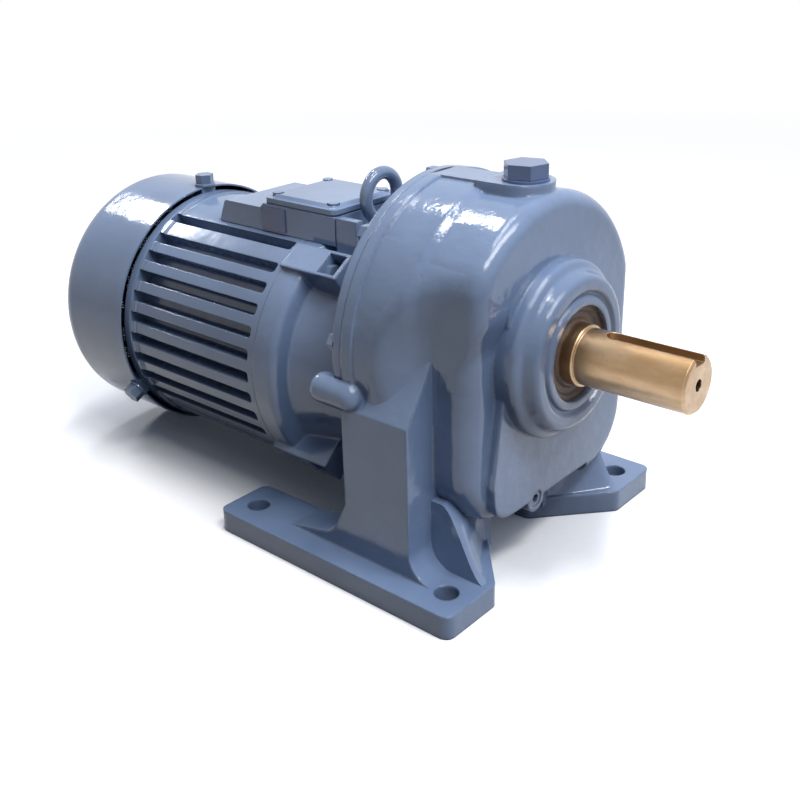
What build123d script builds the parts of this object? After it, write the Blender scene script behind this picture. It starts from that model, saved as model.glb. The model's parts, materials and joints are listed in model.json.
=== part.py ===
from build123d import *
import os
from math import acos, atan2, cos, degrees, pi, radians, sin, sqrt, tan

# A foot-mounted helical gear motor: a totally enclosed fan-cooled motor bolted to a two-stage gear case.
# X runs along the shafts and out of the output shaft, Z is up, and the shafts lie over Y = 0.
# The origin is the centre of the foot bolt pattern, on the mounting plane. Millimetres.

# Shaft lines
shaft_height = 131.0
motor_drop = 35.0
motor_axis_z = shaft_height - motor_drop

# Fits and clearances
running_fit = 0.04
part_gap = 0.3
gasket_thickness = 0.6

# Feet
foot_length = 182.0
foot_span = 216.0
foot_strip_width = 40.0
foot_thickness = 14.0
foot_corner_radius = 6.0
foot_bolt_pitch_x = 150.0
foot_bolt_pitch_y = 178.0
foot_hole_diameter = 14.0
foot_toe_y = 22.0
foot_toe_back = 24.0
foot_toe_front = 52.0

# Pedestals between the feet and the case
pedestal_back = 4.0
pedestal_front = 51.0
pedestal_half_width = 92.0
pedestal_shoulder = 105.0
pedestal_top_y = 68.0
pedestal_top_z = 141.0
gusset_reach = 46.0
gusset_height = 30.0
toe_radius = 16.0
web_inset = 5.0
web_front = 60.0

# Gear case
case_back = 4.0
flange_front = 11.7
flange_radius = 91.0
barrel_radius = 89.5
barrel_step_x = 44.0
barrel_edge_rounding = 5.0
nose_radius = 87.0
nose_rounding = 9.0
case_front = 82.0
front_wall_step = 6.0
body_left = 70.0
body_right = 82.0
body_bottom = 34.0
body_corner = 38.0
body_shoulder_rounding = 28.0
wall_rounding = 12.0
side_flat_back = 26.0
side_flat_rise = 9.0
side_flat_top = 59.0
front_wall_inner = 67.0
plate_top_y = 43.5
plate_middle_y = 46.0
plate_low_y = 56.0
plate_low_z = 66.0
plate_bottom = 42.0
plate_corner = 14.0
plate_middle_bend = 60.0
plate_low_bend = 20.0
plate_low_slant = 3.0
recess_corner = 10.0
recess_back = 60.0
recess_top = 166.0
boss_radius = 51.0
boss_step = 7.0
boss_nose_radius = 43.0
boss_length = 17.0
boss_edge_rounding = 3.5
boss_nose_rounding = 4.0
lip_radius = 31.6
lip_groove_depth = 2.4
lug_radius = 9.0
lug_y = 88.5
lug_z = 112.0
lug_back = -18.0
lug_front = 17.0
lug_back_rounding = 0.7
lug_front_rounding = 0.98
filler_pad_half_width = 17.0
filler_pad_top = 222.5
filler_pad_front = 76.0
filler_x = 60.0
case_wall = 8.0
chamber_step_x = 18.0
drain_y = -13.5
drain_z = 41.0
land_top = 221.0
land_half_width = 12.0

# Output shaft
output_diameter = 32.0
output_length = 64.0
output_shoulder = 4.4
journal_diameter = 35.0
keyway_width = 10.0
keyway_depth = 5.0
keyway_length = 53.0
centre_tap_radius = 3.4
centre_tap_depth = 20.0
shaft_chamfer = 1.2
gear_seat_diameter = 30.0
waist_diameter = 21.0

# Plugs and bolts
filler_thread_radius = 8.0
filler_head_flats = 22.0
filler_head_height = 8.0
drain_radius = 5.0
filler_thread_length = 11.0
circlip_thickness = 1.5
circlip_groove_depth = 1.0
shield_sheet = 0.8
layshaft_key_size = 6.0
layshaft_collar_radius = 13.0
output_gear_key_width = 8.0
case_bolt_radius = 3.0
case_bolt_depth = 18.0
bolt_head_flats = 10.0
bolt_head_height = 4.0
washer_thickness = 1.5

# Rolling bearings: bore, outside diameter, width
output_front_bearing = (35.0, 72.0, 17.0)
output_rear_bearing = (17.0, 35.0, 10.0)
layshaft_front_bearing = (15.0, 32.0, 9.0)
layshaft_rear_bearing = (15.0, 35.0, 11.0)
motor_front_bearing = (25.0, 52.0, 15.0)
motor_rear_bearing = (20.0, 47.0, 14.0)

# Oil seals: outside diameter, width
output_seal = (55.0, 8.0)
motor_seal = (35.0, 7.0)

# Gear train: transverse modules, tooth counts, face widths
pressure_angle = 20.0
helix_angle = 16.0
profile_shift = 0.4
flank_play = 0.16
module_1 = 1.6
motor_pinion_teeth = 11
layshaft_gear_teeth = 39
stage_1_start = 10.0
stage_1_width = 16.0
module_2 = 2.0
layshaft_pinion_teeth = 10
output_gear_teeth = 35
stage_2_start = 32.0
stage_2_width = 22.0
layshaft_gear_bore = 20.0

# Motor adapter, the front end shield of the motor
adapter_plate_radius = 90.5
adapter_plate_back = -2.4
chamber_radius = 80.0
adapter_spigot_length = 3.6
case_bolt_circle = 85.5
case_bolt_angles = (-38.0, 6.0, 48.0, 90.0, 132.0, 174.0, 218.0)
bell_radius = 82.0
bell_back = -80.0
bell_ring_front = -63.0
bell_rounding = 6.0
neck_back_radius = 69.0
neck_back = -52.0
neck_front_radius = 60.0
hub_radius = 34.0
hub_back = -38.0
motor_bearing_back = -36.0
motor_seal_back = -17.0
journal_bore_radius = 12.6
ear_angles = (57.0, 123.0, 222.0, 318.0)
ear_half_width = 9.5
ear_radius = 85.0
ear_front = -34.0
ear_seat = -50.0
tie_bolt_radius = 75.5
cheek_half_width = 31.0
cheek_thickness = 6.0
cheek_back = -53.6
cheek_front = -37.0
cheek_top = 190.0
eyebolt_x = -44.0
eyebolt_seat_z = 176.0
eyebolt_ring_radius = 14.0
eyebolt_wire_radius = 4.0
eyebolt_thread_depth = 14.0
tie_bolt_depth = 16.0

# Motor frame
frame_back = -201.0
frame_bore_radius = 66.0
frame_root_radius = 71.5
fin_radius = 82.0
fin_count = 36
fin_share = 0.5
groove_front = -87.0
groove_back = -197.0
groove_runout = 9.0
pad_z = 172.0
pad_half_width = 36.0
pad_back = -162.0
first_groove_angle = 63.0
ear_rib_half_angle = 5.5
lead_hole_x = -98.0
lead_hole_radius = 7.0

# Stator and rotor
stator_back = -172.0
stator_front = -108.0
stator_inner_radius = 38.5
slot_count = 24
slot_depth = 14.0
slot_width = 4.6
winding_reach = 17.0
rotor_air_gap = 0.5
rotor_ring_length = 7.0
rotor_shaft_radius = 15.0
fan_seat_diameter = 17.0
shaft_rear_end = -250.0
motor_journal_radius = 12.0
pinion_neck_radius = 9.0

# Rear end shield and fan cover
shield_radius = 83.0
shield_thickness = 11.0
rear_bearing_back = -212.0
wave_washer_thickness = 1.0
screw_angles = (90.0, 210.0, 330.0)
cover_radius = 87.0
cover_sheet = 1.2
cover_front = -207.6
cover_back = -281.0
cover_rounding = 16.0
grille_inner = 12.0
grille_outer = 62.0
grille_rings = 5
grille_spokes = 6
grille_bar = 4.2
cover_screw_x = -211.5
cover_screw_radius = 3.0
cover_screw_depth = 10.0
cover_screw_flats = 11.0
cover_screw_head = 6.5
fan_back = -246.0
fan_hub_length = 22.0
fan_blade_count = 8
fan_radius = 76.0
fan_blade_thickness = 2.4
fan_blade_depth = 24.0
fan_disc_thickness = 2.5

# Terminal box
box_back = -160.0
box_front = -54.6
box_half_width = 31.0
box_bottom = 172.3
box_top = 190.0
box_low_top = 187.0
box_low_front = -120.0
box_wall = 3.0
box_slope = 6.0
lid_height = 5.0
lid_inset = 3.5
lid_gasket = 1.0
plate_back = -118.0
plate_front = -97.0
side_plate_thickness = 0.8
gland_x = -74.0
gland_z = 182.7
gland_radius = 5.0
gland_bore_radius = 3.2
gland_flats = 14.0
locknut_flats = 12.4
lid_screw_radius = 1.5
stud_radius = 2.0
terminal_x = -84.0


def cylinder_x(start, end, radius, y=0.0, z=0.0):
    """A solid round bar along X."""
    bar = Cylinder(radius, end - start, align=(Align.CENTER, Align.CENTER, Align.MIN))
    return Pos(start, y, z) * Rot(0, 90, 0) * bar


def tube_x(start, end, outer, inner, y=0.0, z=0.0):
    """A round tube along X."""
    return cylinder_x(start, end, outer, y, z) - cylinder_x(start - 1, end + 1, inner, y, z)


def cylinder_z(bottom, top, radius, x=0.0, y=0.0):
    """A solid round bar along Z."""
    return Pos(x, y, bottom) * Cylinder(radius, top - bottom, align=(Align.CENTER, Align.CENTER, Align.MIN))


def block(x0, x1, y0, y1, z0, z1):
    """A block between two corners."""
    corner = (Align.MIN, Align.MIN, Align.MIN)
    return Pos(x0, y0, z0) * Box(x1 - x0, y1 - y0, z1 - z0, align=corner)


def outline(corners):
    """A closed flat outline. Each corner is (a, b) or (a, b, rounding radius)."""
    entries = []
    exits = []
    edges = []
    count = len(corners)
    for index, corner in enumerate(corners):
        here = Vector(corner[0], corner[1])
        radius = corner[2] if len(corner) > 2 else 0.0
        if radius == 0.0:
            entries.append(here)
            exits.append(here)
            continue
        back = (Vector(*corners[index - 1][:2]) - here).normalized()
        ahead = (Vector(*corners[(index + 1) % count][:2]) - here).normalized()
        half = radians(back.get_angle(ahead)) / 2
        inward = (back + ahead).normalized()
        entries.append(here + back * (radius / tan(half)))
        exits.append(here + ahead * (radius / tan(half)))
        middle = here + inward * (radius / sin(half) - radius)
        edges.append(ThreePointArc(entries[-1], middle, exits[-1]))
    for index in range(count):
        start = exits[index]
        end = entries[(index + 1) % count]
        if (end - start).length > 1e-6:
            edges.append(Line(start, end))
    return make_face(edges)


def turned(corners, y=0.0, z=0.0):
    """A turned solid about an X axis. Corners are (x, radius) or (x, radius, rounding)."""
    return Pos(0, y, z) * revolve(Plane.XZ * outline(corners), Axis.X, 360)


def prism_x(corners, start, end):
    """A prism along X from an outline in Y and Z."""
    return extrude(Plane.YZ.offset(start) * outline(corners), end - start)


def prism_y(corners, start, end):
    """A prism along Y from an outline in X and Z."""
    return extrude(Plane.XZ.offset(-end) * outline(corners), end - start)


def mirrored(shape):
    """The shape and its mirror image across Y = 0."""
    return shape + mirror(shape, Plane.XZ)


def hex_bar(start, end, across_flats, y=0.0, z=0.0):
    """A hexagonal bar along X."""
    sketch = RegularPolygon(across_flats / 2, 6, major_radius=False)
    return Pos(0, y, z) * extrude(Plane.YZ.offset(start) * sketch, end - start)


def polar(radius, angle, z=0.0):
    """The Y and Z of a point at an angle from +Y, about an axis at height z."""
    return radius * cos(radians(angle)), z + radius * sin(radians(angle))


def involute_gear(module, teeth, shift, width, helix, turn, play=0.0):
    """A helical gear blank with involute teeth, from Z = 0 up, with a tooth at angle turn."""
    pitch_radius = module * teeth / 2
    base_radius = pitch_radius * cos(radians(pressure_angle))
    tip_radius = pitch_radius + module * (1 + shift)
    root_radius = pitch_radius - module * (1.25 - shift)
    roll = tan(radians(pressure_angle)) - radians(pressure_angle)
    thickness = module * (pi / 2 + 2 * shift * tan(radians(pressure_angle))) - 2 * play
    half_angle = thickness / (2 * pitch_radius) + roll
    start_radius = max(base_radius, root_radius)
    points = []
    for tooth in range(teeth):
        centre = radians(turn) + 2 * pi * tooth / teeth
        flank = []
        for step in range(4):
            radius = start_radius + (tip_radius - start_radius) * (step / 3) ** 1.3
            tangent = acos(min(1.0, base_radius / radius))
            flank.append((radius, half_angle - tan(tangent) + tangent))
        if root_radius < start_radius:
            flank.insert(0, (root_radius, flank[0][1]))
        for radius, angle in flank:
            points.append((radius * cos(centre - angle), radius * sin(centre - angle)))
        for radius, angle in reversed(flank):
            points.append((radius * cos(centre + angle), radius * sin(centre + angle)))
    face = Face(Wire.make_polygon([Vector(a, b, 0) for a, b in points]))
    twist = degrees(width * tan(radians(helix)) / pitch_radius)
    solid = Solid.extrude_linear_with_rotation(face, (0, 0, 0), (0, 0, width), twist)
    return solid


# Derived places
layshaft_distance_1 = module_1 * (motor_pinion_teeth + layshaft_gear_teeth) / 2
layshaft_distance_2 = module_2 * (layshaft_pinion_teeth + output_gear_teeth) / 2
layshaft_drop = (motor_drop ** 2 + layshaft_distance_2 ** 2 - layshaft_distance_1 ** 2) / (2 * motor_drop)
layshaft_z = shaft_height - layshaft_drop
layshaft_y = sqrt(layshaft_distance_2 ** 2 - layshaft_drop ** 2)
adapter_front = case_back - gasket_thickness
adapter_face = adapter_front + adapter_spigot_length
boss_face = case_front + boss_length
output_bearing_front = boss_face - 13.0
output_bearing_back = output_bearing_front - output_front_bearing[2]
output_seal_back = output_bearing_front + 2.0
output_shoulder_x = boss_face + output_shoulder
output_end = output_shoulder_x + output_length
rear_bearing_start = adapter_face - output_rear_bearing[2]
layshaft_rear_start = adapter_face - layshaft_rear_bearing[2]
layshaft_front_start = front_wall_inner - 0.8 - layshaft_front_bearing[2]
stage_1_end = stage_1_start + stage_1_width
stage_2_end = stage_2_start + stage_2_width
motor_bearing_front = motor_bearing_back + motor_front_bearing[2]
motor_seal_front = motor_seal_back + motor_seal[1]
rear_bearing_start_x = rear_bearing_back + wave_washer_thickness
rear_bearing_front = rear_bearing_start_x + motor_rear_bearing[2]
lid_base = box_top + lid_gasket
lid_top = lid_base + lid_height
eyebolt_centre_z = eyebolt_seat_z + 23.0
layshaft_line_1 = degrees(atan2(layshaft_z - motor_axis_z, layshaft_y))
layshaft_line_2 = degrees(atan2(shaft_height - layshaft_z, -layshaft_y))


def pedestal():
    """The left pedestal with its foot, rear gusset, front fillet and the web below the case."""
    inner_y = foot_strip_width - foot_span / 2
    deep_y = case_wall / 2 - body_left
    column = prism_x([
        (-pedestal_half_width, foot_thickness / 2),
        (-pedestal_half_width, pedestal_shoulder),
        (-pedestal_top_y, pedestal_top_z),
        (deep_y, pedestal_top_z),
        (deep_y, body_bottom + body_corner / 2),
        (inner_y, body_bottom + body_corner / 3),
        (inner_y, foot_thickness / 2)], pedestal_back, pedestal_front)
    half = foot_length / 2
    foot = extrude(outline([
        (-half, -foot_span / 2, foot_corner_radius),
        (half, -foot_span / 2, foot_corner_radius),
        (half, inner_y + 2, foot_corner_radius),
        (foot_toe_front, -foot_toe_y, foot_corner_radius),
        (foot_toe_back, -foot_toe_y, foot_corner_radius),
        (pedestal_back, inner_y),
        (-half, inner_y, foot_corner_radius)]), foot_thickness)
    gusset = prism_y([
        (pedestal_back + 1, foot_thickness / 2),
        (pedestal_back + 1, foot_thickness + gusset_height),
        (pedestal_back, foot_thickness + gusset_height),
        (pedestal_back - gusset_reach / 4, foot_thickness + gusset_height / 4, gusset_reach / 3),
        (pedestal_back - gusset_reach, foot_thickness),
        (pedestal_back - gusset_reach, foot_thickness / 2)], -pedestal_half_width, inner_y)
    toe = prism_y([
        (pedestal_front - 2, foot_thickness / 2),
        (pedestal_front - 2, foot_thickness + toe_radius + 1),
        (pedestal_front, foot_thickness + toe_radius + 1),
        (pedestal_front, foot_thickness, toe_radius),
        (pedestal_front + toe_radius + 1, foot_thickness),
        (pedestal_front + toe_radius + 1, foot_thickness / 2)], -pedestal_half_width, inner_y)
    web = prism_x([
        (inner_y - 4, foot_thickness / 2),
        (-foot_toe_y - web_inset, foot_thickness / 2),
        (-foot_toe_y - web_inset, body_bottom + 3),
        (-2 * foot_toe_y, body_bottom + 4),
        (inner_y + 2, body_bottom + body_corner / 2),
        (inner_y - 4, body_bottom + body_corner / 2)], pedestal_back, web_front)
    web &= extrude(outline([
        (pedestal_back + web_inset, inner_y - 4),
        (foot_toe_back, -foot_toe_y - web_inset),
        (foot_toe_front - web_inset, -foot_toe_y - web_inset),
        (web_front, -2 * foot_toe_y),
        (web_front, inner_y - 4)]), shaft_height)
    holes = Sketch()
    for side in (-1, 1):
        holes += Pos(side * foot_bolt_pitch_x / 2, -foot_bolt_pitch_y / 2) * Circle(foot_hole_diameter / 2)
    return column + foot + gusset + toe + web - extrude(holes, foot_thickness + 1)


def arch(inset, end, rounding):
    """The case seen along X, as a solid with a rounded front: a round top between two flat sides."""
    left = inset - body_left
    right = body_right - inset
    radius = nose_radius - inset
    bottom = body_bottom + inset
    high = shaft_height + radius + 1
    corner = body_corner - inset
    sides = outline([(left, high), (left, bottom, corner), (right, bottom, corner), (right, high)])
    below = Pos(0, shaft_height / 2) * Rectangle(4 * radius, shaft_height)
    face = sides & (Pos(0, shaft_height) * Circle(radius) + below)
    face = fillet(face.vertices().sort_by(Axis.Y)[-2:], body_shoulder_rounding - inset)
    solid = extrude(Plane.YZ.offset(case_back) * face, end - case_back, dir=(1, 0, 0))
    return fillet(solid.faces().sort_by(Axis.X)[-1].edges(), rounding)


def case_boss():
    """The round boss on the front wall, with its rolled edge and the lip round the seal."""
    return turned([
        (case_front - 1, 0),
        (case_front - 1, boss_radius),
        (case_front + boss_step, boss_radius, boss_edge_rounding),
        (case_front + boss_step + 2.5, boss_nose_radius + 3, 2.5),
        (boss_face, boss_nose_radius, boss_nose_rounding),
        (boss_face, boss_nose_radius - 7),
        (boss_face - lip_groove_depth, boss_nose_radius - 8.5, 1),
        (boss_face - lip_groove_depth, lip_radius + 1.2, 1),
        (boss_face, lip_radius, 0.8),
        (boss_face, 0)], z=shaft_height)


def case_barrel():
    """The round rear of the case, cut flat at the sides in front of the case bolts."""
    barrel = turned([
        (case_back, 0),
        (case_back, flange_radius),
        (flange_front, flange_radius, 1.2),
        (flange_front, barrel_radius),
        (barrel_step_x - 4, barrel_radius, barrel_edge_rounding),
        (barrel_step_x + 2, nose_radius - 0.2),
        (barrel_step_x + 2, 0)], z=shaft_height)
    flat = [
        (side_flat_back, 0),
        (side_flat_back, pedestal_top_z + side_flat_rise),
        (barrel_step_x, shaft_height + side_flat_top),
        (case_front, shaft_height + side_flat_top),
        (case_front, 0)]
    barrel -= prism_y(flat, -flange_radius - 5, -body_left)
    return barrel - prism_y(flat, body_right, flange_radius + 5)


def gear_case():
    """The cast gear case: barrel, square lower body, front plate, boss, pedestals and feet."""
    wall_front = case_front - front_wall_step
    plate_outline = [
        (-plate_top_y, shaft_height + nose_radius),
        (-plate_middle_y, shaft_height, plate_middle_bend),
        (-plate_low_y, plate_low_z, plate_low_bend),
        (plate_low_slant - plate_low_y, plate_bottom, plate_corner),
        (body_right / 2, plate_bottom),
        (body_right / 2 + 4, 0),
        (body_right + 9, 0),
        (body_right + 9, shaft_height + nose_radius)]
    recess = prism_y([
        (recess_back, 0),
        (recess_back, shaft_height, recess_corner),
        (case_front + 0.5, recess_top),
        (case_front + 20, recess_top),
        (case_front + 20, 0)], -flange_radius - 5, flange_radius + 5)
    recess -= cylinder_x(case_back, case_front + 30, boss_radius, z=shaft_height)
    recess -= prism_x(plate_outline, case_back, case_front + 30)
    front = arch(0, case_front, nose_rounding) - recess
    lug = turned([
        (lug_back, 0),
        (lug_back, lug_radius, lug_back_rounding * lug_radius),
        (lug_front, lug_radius, lug_front_rounding * lug_radius),
        (lug_front, 0)], -lug_y, lug_z)
    pad = extrude(Pos(0, 0, shaft_height) * outline([
        (barrel_step_x - 6, -filler_pad_half_width),
        (filler_pad_front, -filler_pad_half_width, filler_pad_half_width - 0.1),
        (filler_pad_front, filler_pad_half_width, filler_pad_half_width - 0.1),
        (barrel_step_x - 6, filler_pad_half_width)]), filler_pad_top - shaft_height)
    land = block(flange_front - 1, barrel_step_x, -land_half_width, land_half_width, shaft_height, land_top)
    drain_boss = cylinder_x(front_wall_inner, case_front - 0.5, drain_radius + 3, drain_y, drain_z)
    case = case_barrel() + arch(0, wall_front, wall_rounding) + front
    case += mirrored(pedestal()) + mirrored(lug)
    case += pad + land + drain_boss + case_boss()
    case -= block(case_back - 1, flange_front, -flange_radius, flange_radius, land_top, land_top + 10)
    chamber = cylinder_x(case_back, chamber_step_x, chamber_radius, z=shaft_height)
    inside = arch(case_wall, front_wall_inner, 3)
    inside -= cylinder_x(case_back - 1, chamber_step_x - 1, 2 * chamber_radius, z=shaft_height)
    case = case - chamber - inside
    hub_radius_1 = layshaft_front_bearing[1] / 2 + 5
    hub = cylinder_x(layshaft_front_start, front_wall_inner + 1, hub_radius_1, layshaft_y, layshaft_z)
    case += hub
    bearing_radius = output_front_bearing[1] / 2
    case -= cylinder_x(front_wall_inner - 1, output_bearing_front, bearing_radius, z=shaft_height)
    case -= cylinder_x(front_wall_inner - 1, output_seal_back, bearing_radius - 4, z=shaft_height)
    case -= cylinder_x(front_wall_inner - 1, boss_face + 1, output_seal[0] / 2, z=shaft_height)
    groove_back = output_bearing_back - 1.6
    case -= tube_x(groove_back, output_bearing_back, bearing_radius + 1.8, bearing_radius - 1, z=shaft_height)
    seat_end = layshaft_front_start + layshaft_front_bearing[2]
    seat_radius = layshaft_front_bearing[1] / 2
    case -= cylinder_x(layshaft_front_start - 1, seat_end, seat_radius, layshaft_y, layshaft_z)
    case -= cylinder_z(shaft_height, filler_pad_top + 1, filler_thread_radius, filler_x)
    case -= cylinder_x(front_wall_inner - 1, case_front + 1, drain_radius, drain_y, drain_z)
    for angle in case_bolt_angles:
        y, z = polar(case_bolt_circle, angle, shaft_height)
        case -= cylinder_x(case_back - 1, case_back + case_bolt_depth, case_bolt_radius, y, z)
    return case


def axial_lug(start, end, angle, low, high, half_width):
    """A block that stands out from the motor axis at an angle from +Y."""
    bar = block(start, end, -half_width, half_width, low, high)
    return Pos(0, 0, motor_axis_z) * Rot(angle - 90, 0, 0) * bar


def lug_notches(start, end):
    """The round notches that clear the two lugs of the gear case."""
    notch = cylinder_x(start, end, lug_radius + part_gap, -lug_y, lug_z)
    return mirrored(notch)


def case_gasket():
    """The gasket between the gear case and the motor adapter."""
    ring = tube_x(adapter_front, case_back, adapter_plate_radius, chamber_radius, z=shaft_height)
    ring -= lug_notches(adapter_front - 1, case_back + 1)
    for angle in case_bolt_angles:
        y, z = polar(case_bolt_circle, angle, shaft_height)
        ring -= cylinder_x(adapter_front - 1, case_back + 1, case_bolt_radius, y, z)
    return ring


def motor_adapter():
    """The bell-shaped adapter: front end shield of the motor and rear cover of the gear case."""
    plate = cylinder_x(adapter_plate_back, adapter_front, adapter_plate_radius, z=shaft_height)
    spigot = cylinder_x(adapter_front, adapter_face, chamber_radius, z=shaft_height)
    bell = turned([
        (bell_back, 0),
        (bell_back, bell_radius),
        (bell_ring_front, bell_radius, bell_rounding),
        (bell_ring_front + 3, neck_back_radius + 2, 2.5),
        (neck_back, neck_back_radius, 6),
        (adapter_plate_back, neck_front_radius),
        (adapter_plate_back, 0)], z=motor_axis_z)
    register = cylinder_x(bell_back - 4, bell_back, frame_bore_radius, z=motor_axis_z)
    adapter = bell + register
    for angle in ear_angles:
        adapter += axial_lug(bell_back, ear_front, angle, neck_front_radius, ear_radius, ear_half_width)
        pocket_half_width = ear_half_width - 2
        adapter -= axial_lug(
            ear_seat, ear_front - 2.5, angle, neck_back_radius, ear_radius + 1, pocket_half_width)
        y, z = polar(tie_bolt_radius, angle, motor_axis_z)
        adapter -= cylinder_x(bell_back - 1, ear_seat + 1, case_bolt_radius, y, z)
    adapter -= block(bell_back - 1, box_front + 1, -pad_half_width, pad_half_width, pad_z, pad_z + 20)
    floor = block(cheek_back, cheek_front, -cheek_half_width, cheek_half_width, motor_axis_z, eyebolt_seat_z)
    cheek_inner_y = cheek_thickness - cheek_half_width
    cheek = block(cheek_back, cheek_front, -cheek_half_width, cheek_inner_y, motor_axis_z, cheek_top)
    adapter += floor + mirrored(cheek)
    adapter -= turned([
        (bell_back - 5, 0),
        (bell_back - 5, frame_bore_radius - 4),
        (bell_ring_front + 3, frame_bore_radius - 4, 4),
        (hub_back + 16, neck_front_radius - 14, 4),
        (hub_back + 16, hub_radius, 3),
        (hub_back, hub_radius),
        (hub_back, 0)], z=motor_axis_z)
    adapter += plate + spigot
    adapter -= cylinder_x(hub_back - 1, motor_bearing_front, motor_front_bearing[1] / 2, z=motor_axis_z)
    adapter -= cylinder_x(hub_back - 1, motor_seal_front, motor_seal[0] / 2, z=motor_axis_z)
    adapter -= cylinder_x(hub_back - 1, adapter_face + 1, journal_bore_radius, z=motor_axis_z)
    adapter -= cylinder_x(rear_bearing_start, adapter_face + 1, output_rear_bearing[1] / 2, z=shaft_height)
    lay_radius = layshaft_rear_bearing[1] / 2
    adapter -= cylinder_x(layshaft_rear_start, adapter_face + 1, lay_radius, layshaft_y, layshaft_z)
    adapter -= lug_notches(adapter_plate_back - 1, adapter_face + 1)
    for angle in case_bolt_angles:
        y, z = polar(case_bolt_circle, angle, shaft_height)
        adapter -= cylinder_x(adapter_plate_back - 1, adapter_face + 1, case_bolt_radius, y, z)
        adapter -= cylinder_x(adapter_plate_back - 10, adapter_plate_back, bolt_head_flats / 2 + 2.5, y, z)
    thread_bottom = eyebolt_seat_z - eyebolt_thread_depth
    return adapter - cylinder_z(thread_bottom, eyebolt_seat_z + 1, eyebolt_wire_radius, eyebolt_x)


def case_bolts():
    """Hexagon bolts that hold the adapter to the gear case."""
    bolts = []
    for angle in case_bolt_angles:
        y, z = polar(case_bolt_circle, angle, shaft_height)
        head = hex_bar(adapter_plate_back - bolt_head_height, adapter_plate_back, bolt_head_flats, y, z)
        shank_end = case_back + case_bolt_depth - 2
        bolts.append(head + cylinder_x(adapter_plate_back, shank_end, case_bolt_radius, y, z))
    return Compound(children=bolts)


def tie_bolts():
    """Hexagon bolts through the adapter ears into the motor frame."""
    bolts = []
    for angle in ear_angles:
        y, z = polar(tie_bolt_radius, angle, motor_axis_z)
        head = hex_bar(ear_seat, ear_seat + bolt_head_height, bolt_head_flats, y, z)
        bolts.append(head + cylinder_x(bell_back - tie_bolt_depth + 2, ear_seat, case_bolt_radius, y, z))
    return Compound(children=bolts)


def motor_frame():
    """The finned motor frame, with a machined pad on top for the terminal box."""
    frame = turned([
        (frame_back, 0),
        (frame_back, shield_radius),
        (groove_back, shield_radius),
        (groove_back, fin_radius, 1.5),
        (bell_back, fin_radius),
        (bell_back, 0)], z=motor_axis_z)
    half_groove = pi * fin_radius / fin_count * (1 - fin_share)
    tool_profile = outline([
        (groove_back - 10, frame_root_radius),
        (groove_front, frame_root_radius, groove_runout),
        (groove_front + 3, fin_radius + 2),
        (groove_front + 3, fin_radius + 8),
        (groove_back - 10, fin_radius + 8)])
    tool = extrude(Plane.XZ.offset(-half_groove) * tool_profile, 2 * half_groove)
    tool = fillet(tool.edges().filter_by(Axis.X).sort_by(Axis.Z)[:2], 0.6 * half_groove)
    angles = [360 / fin_count * index for index in range(fin_count)]
    grooves = [angle for angle in angles if groove_is_open(angle)]
    for angle in grooves + [first_groove_angle, 180 - first_groove_angle]:
        frame -= Pos(0, 0, motor_axis_z) * Rot(angle - 90, 0, 0) * tool
    frame -= block(pad_back, bell_back + 1, -pad_half_width, pad_half_width, pad_z, pad_z + 20)
    frame -= cylinder_x(frame_back - 1, bell_back + 1, frame_bore_radius, z=motor_axis_z)
    for angle in ear_angles:
        y, z = polar(tie_bolt_radius, angle, motor_axis_z)
        frame -= cylinder_x(bell_back - tie_bolt_depth, bell_back + 1, case_bolt_radius, y, z)
    return frame - cylinder_z(motor_axis_z, pad_z + 1, lead_hole_radius, lead_hole_x)


def groove_is_open(angle):
    """Whether a groove between fins may be cut here: not through a bolt rib or the box pad."""
    clear_of_ribs = all(abs(angle - ear) > ear_rib_half_angle for ear in ear_angles)
    return clear_of_ribs and abs(angle - 90) > 90 - first_groove_angle


def stator_core():
    """The stator stack, with open slots round its bore."""
    core = tube_x(stator_back, stator_front, frame_bore_radius, stator_inner_radius, z=motor_axis_z)
    half = slot_width / 2
    slot = block(stator_back - 1, stator_front + 1, -half, half, 0, stator_inner_radius + slot_depth)
    for index in range(slot_count):
        core -= Pos(0, 0, motor_axis_z) * Rot(360 / slot_count * index, 0, 0) * slot
    return core


def stator_windings():
    """The copper coils: sides in the slots and a bundled ring at each end."""
    inner = stator_inner_radius + 4
    outer = stator_inner_radius + slot_depth + 6
    ends = []
    for near, reach in ((stator_back, -winding_reach), (stator_front, winding_reach)):
        far = near + reach
        ends.append(turned([(near, inner), (far, inner, 5), (far, outer, 5), (near, outer)], z=motor_axis_z))
    coil = ends[0] + ends[1]
    half = slot_width / 2
    side = block(stator_back, stator_front, -half, half, inner + 0.5, stator_inner_radius + slot_depth)
    for index in range(slot_count):
        coil += Pos(0, 0, motor_axis_z) * Rot(360 / slot_count * index, 0, 0) * side
    return coil


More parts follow.
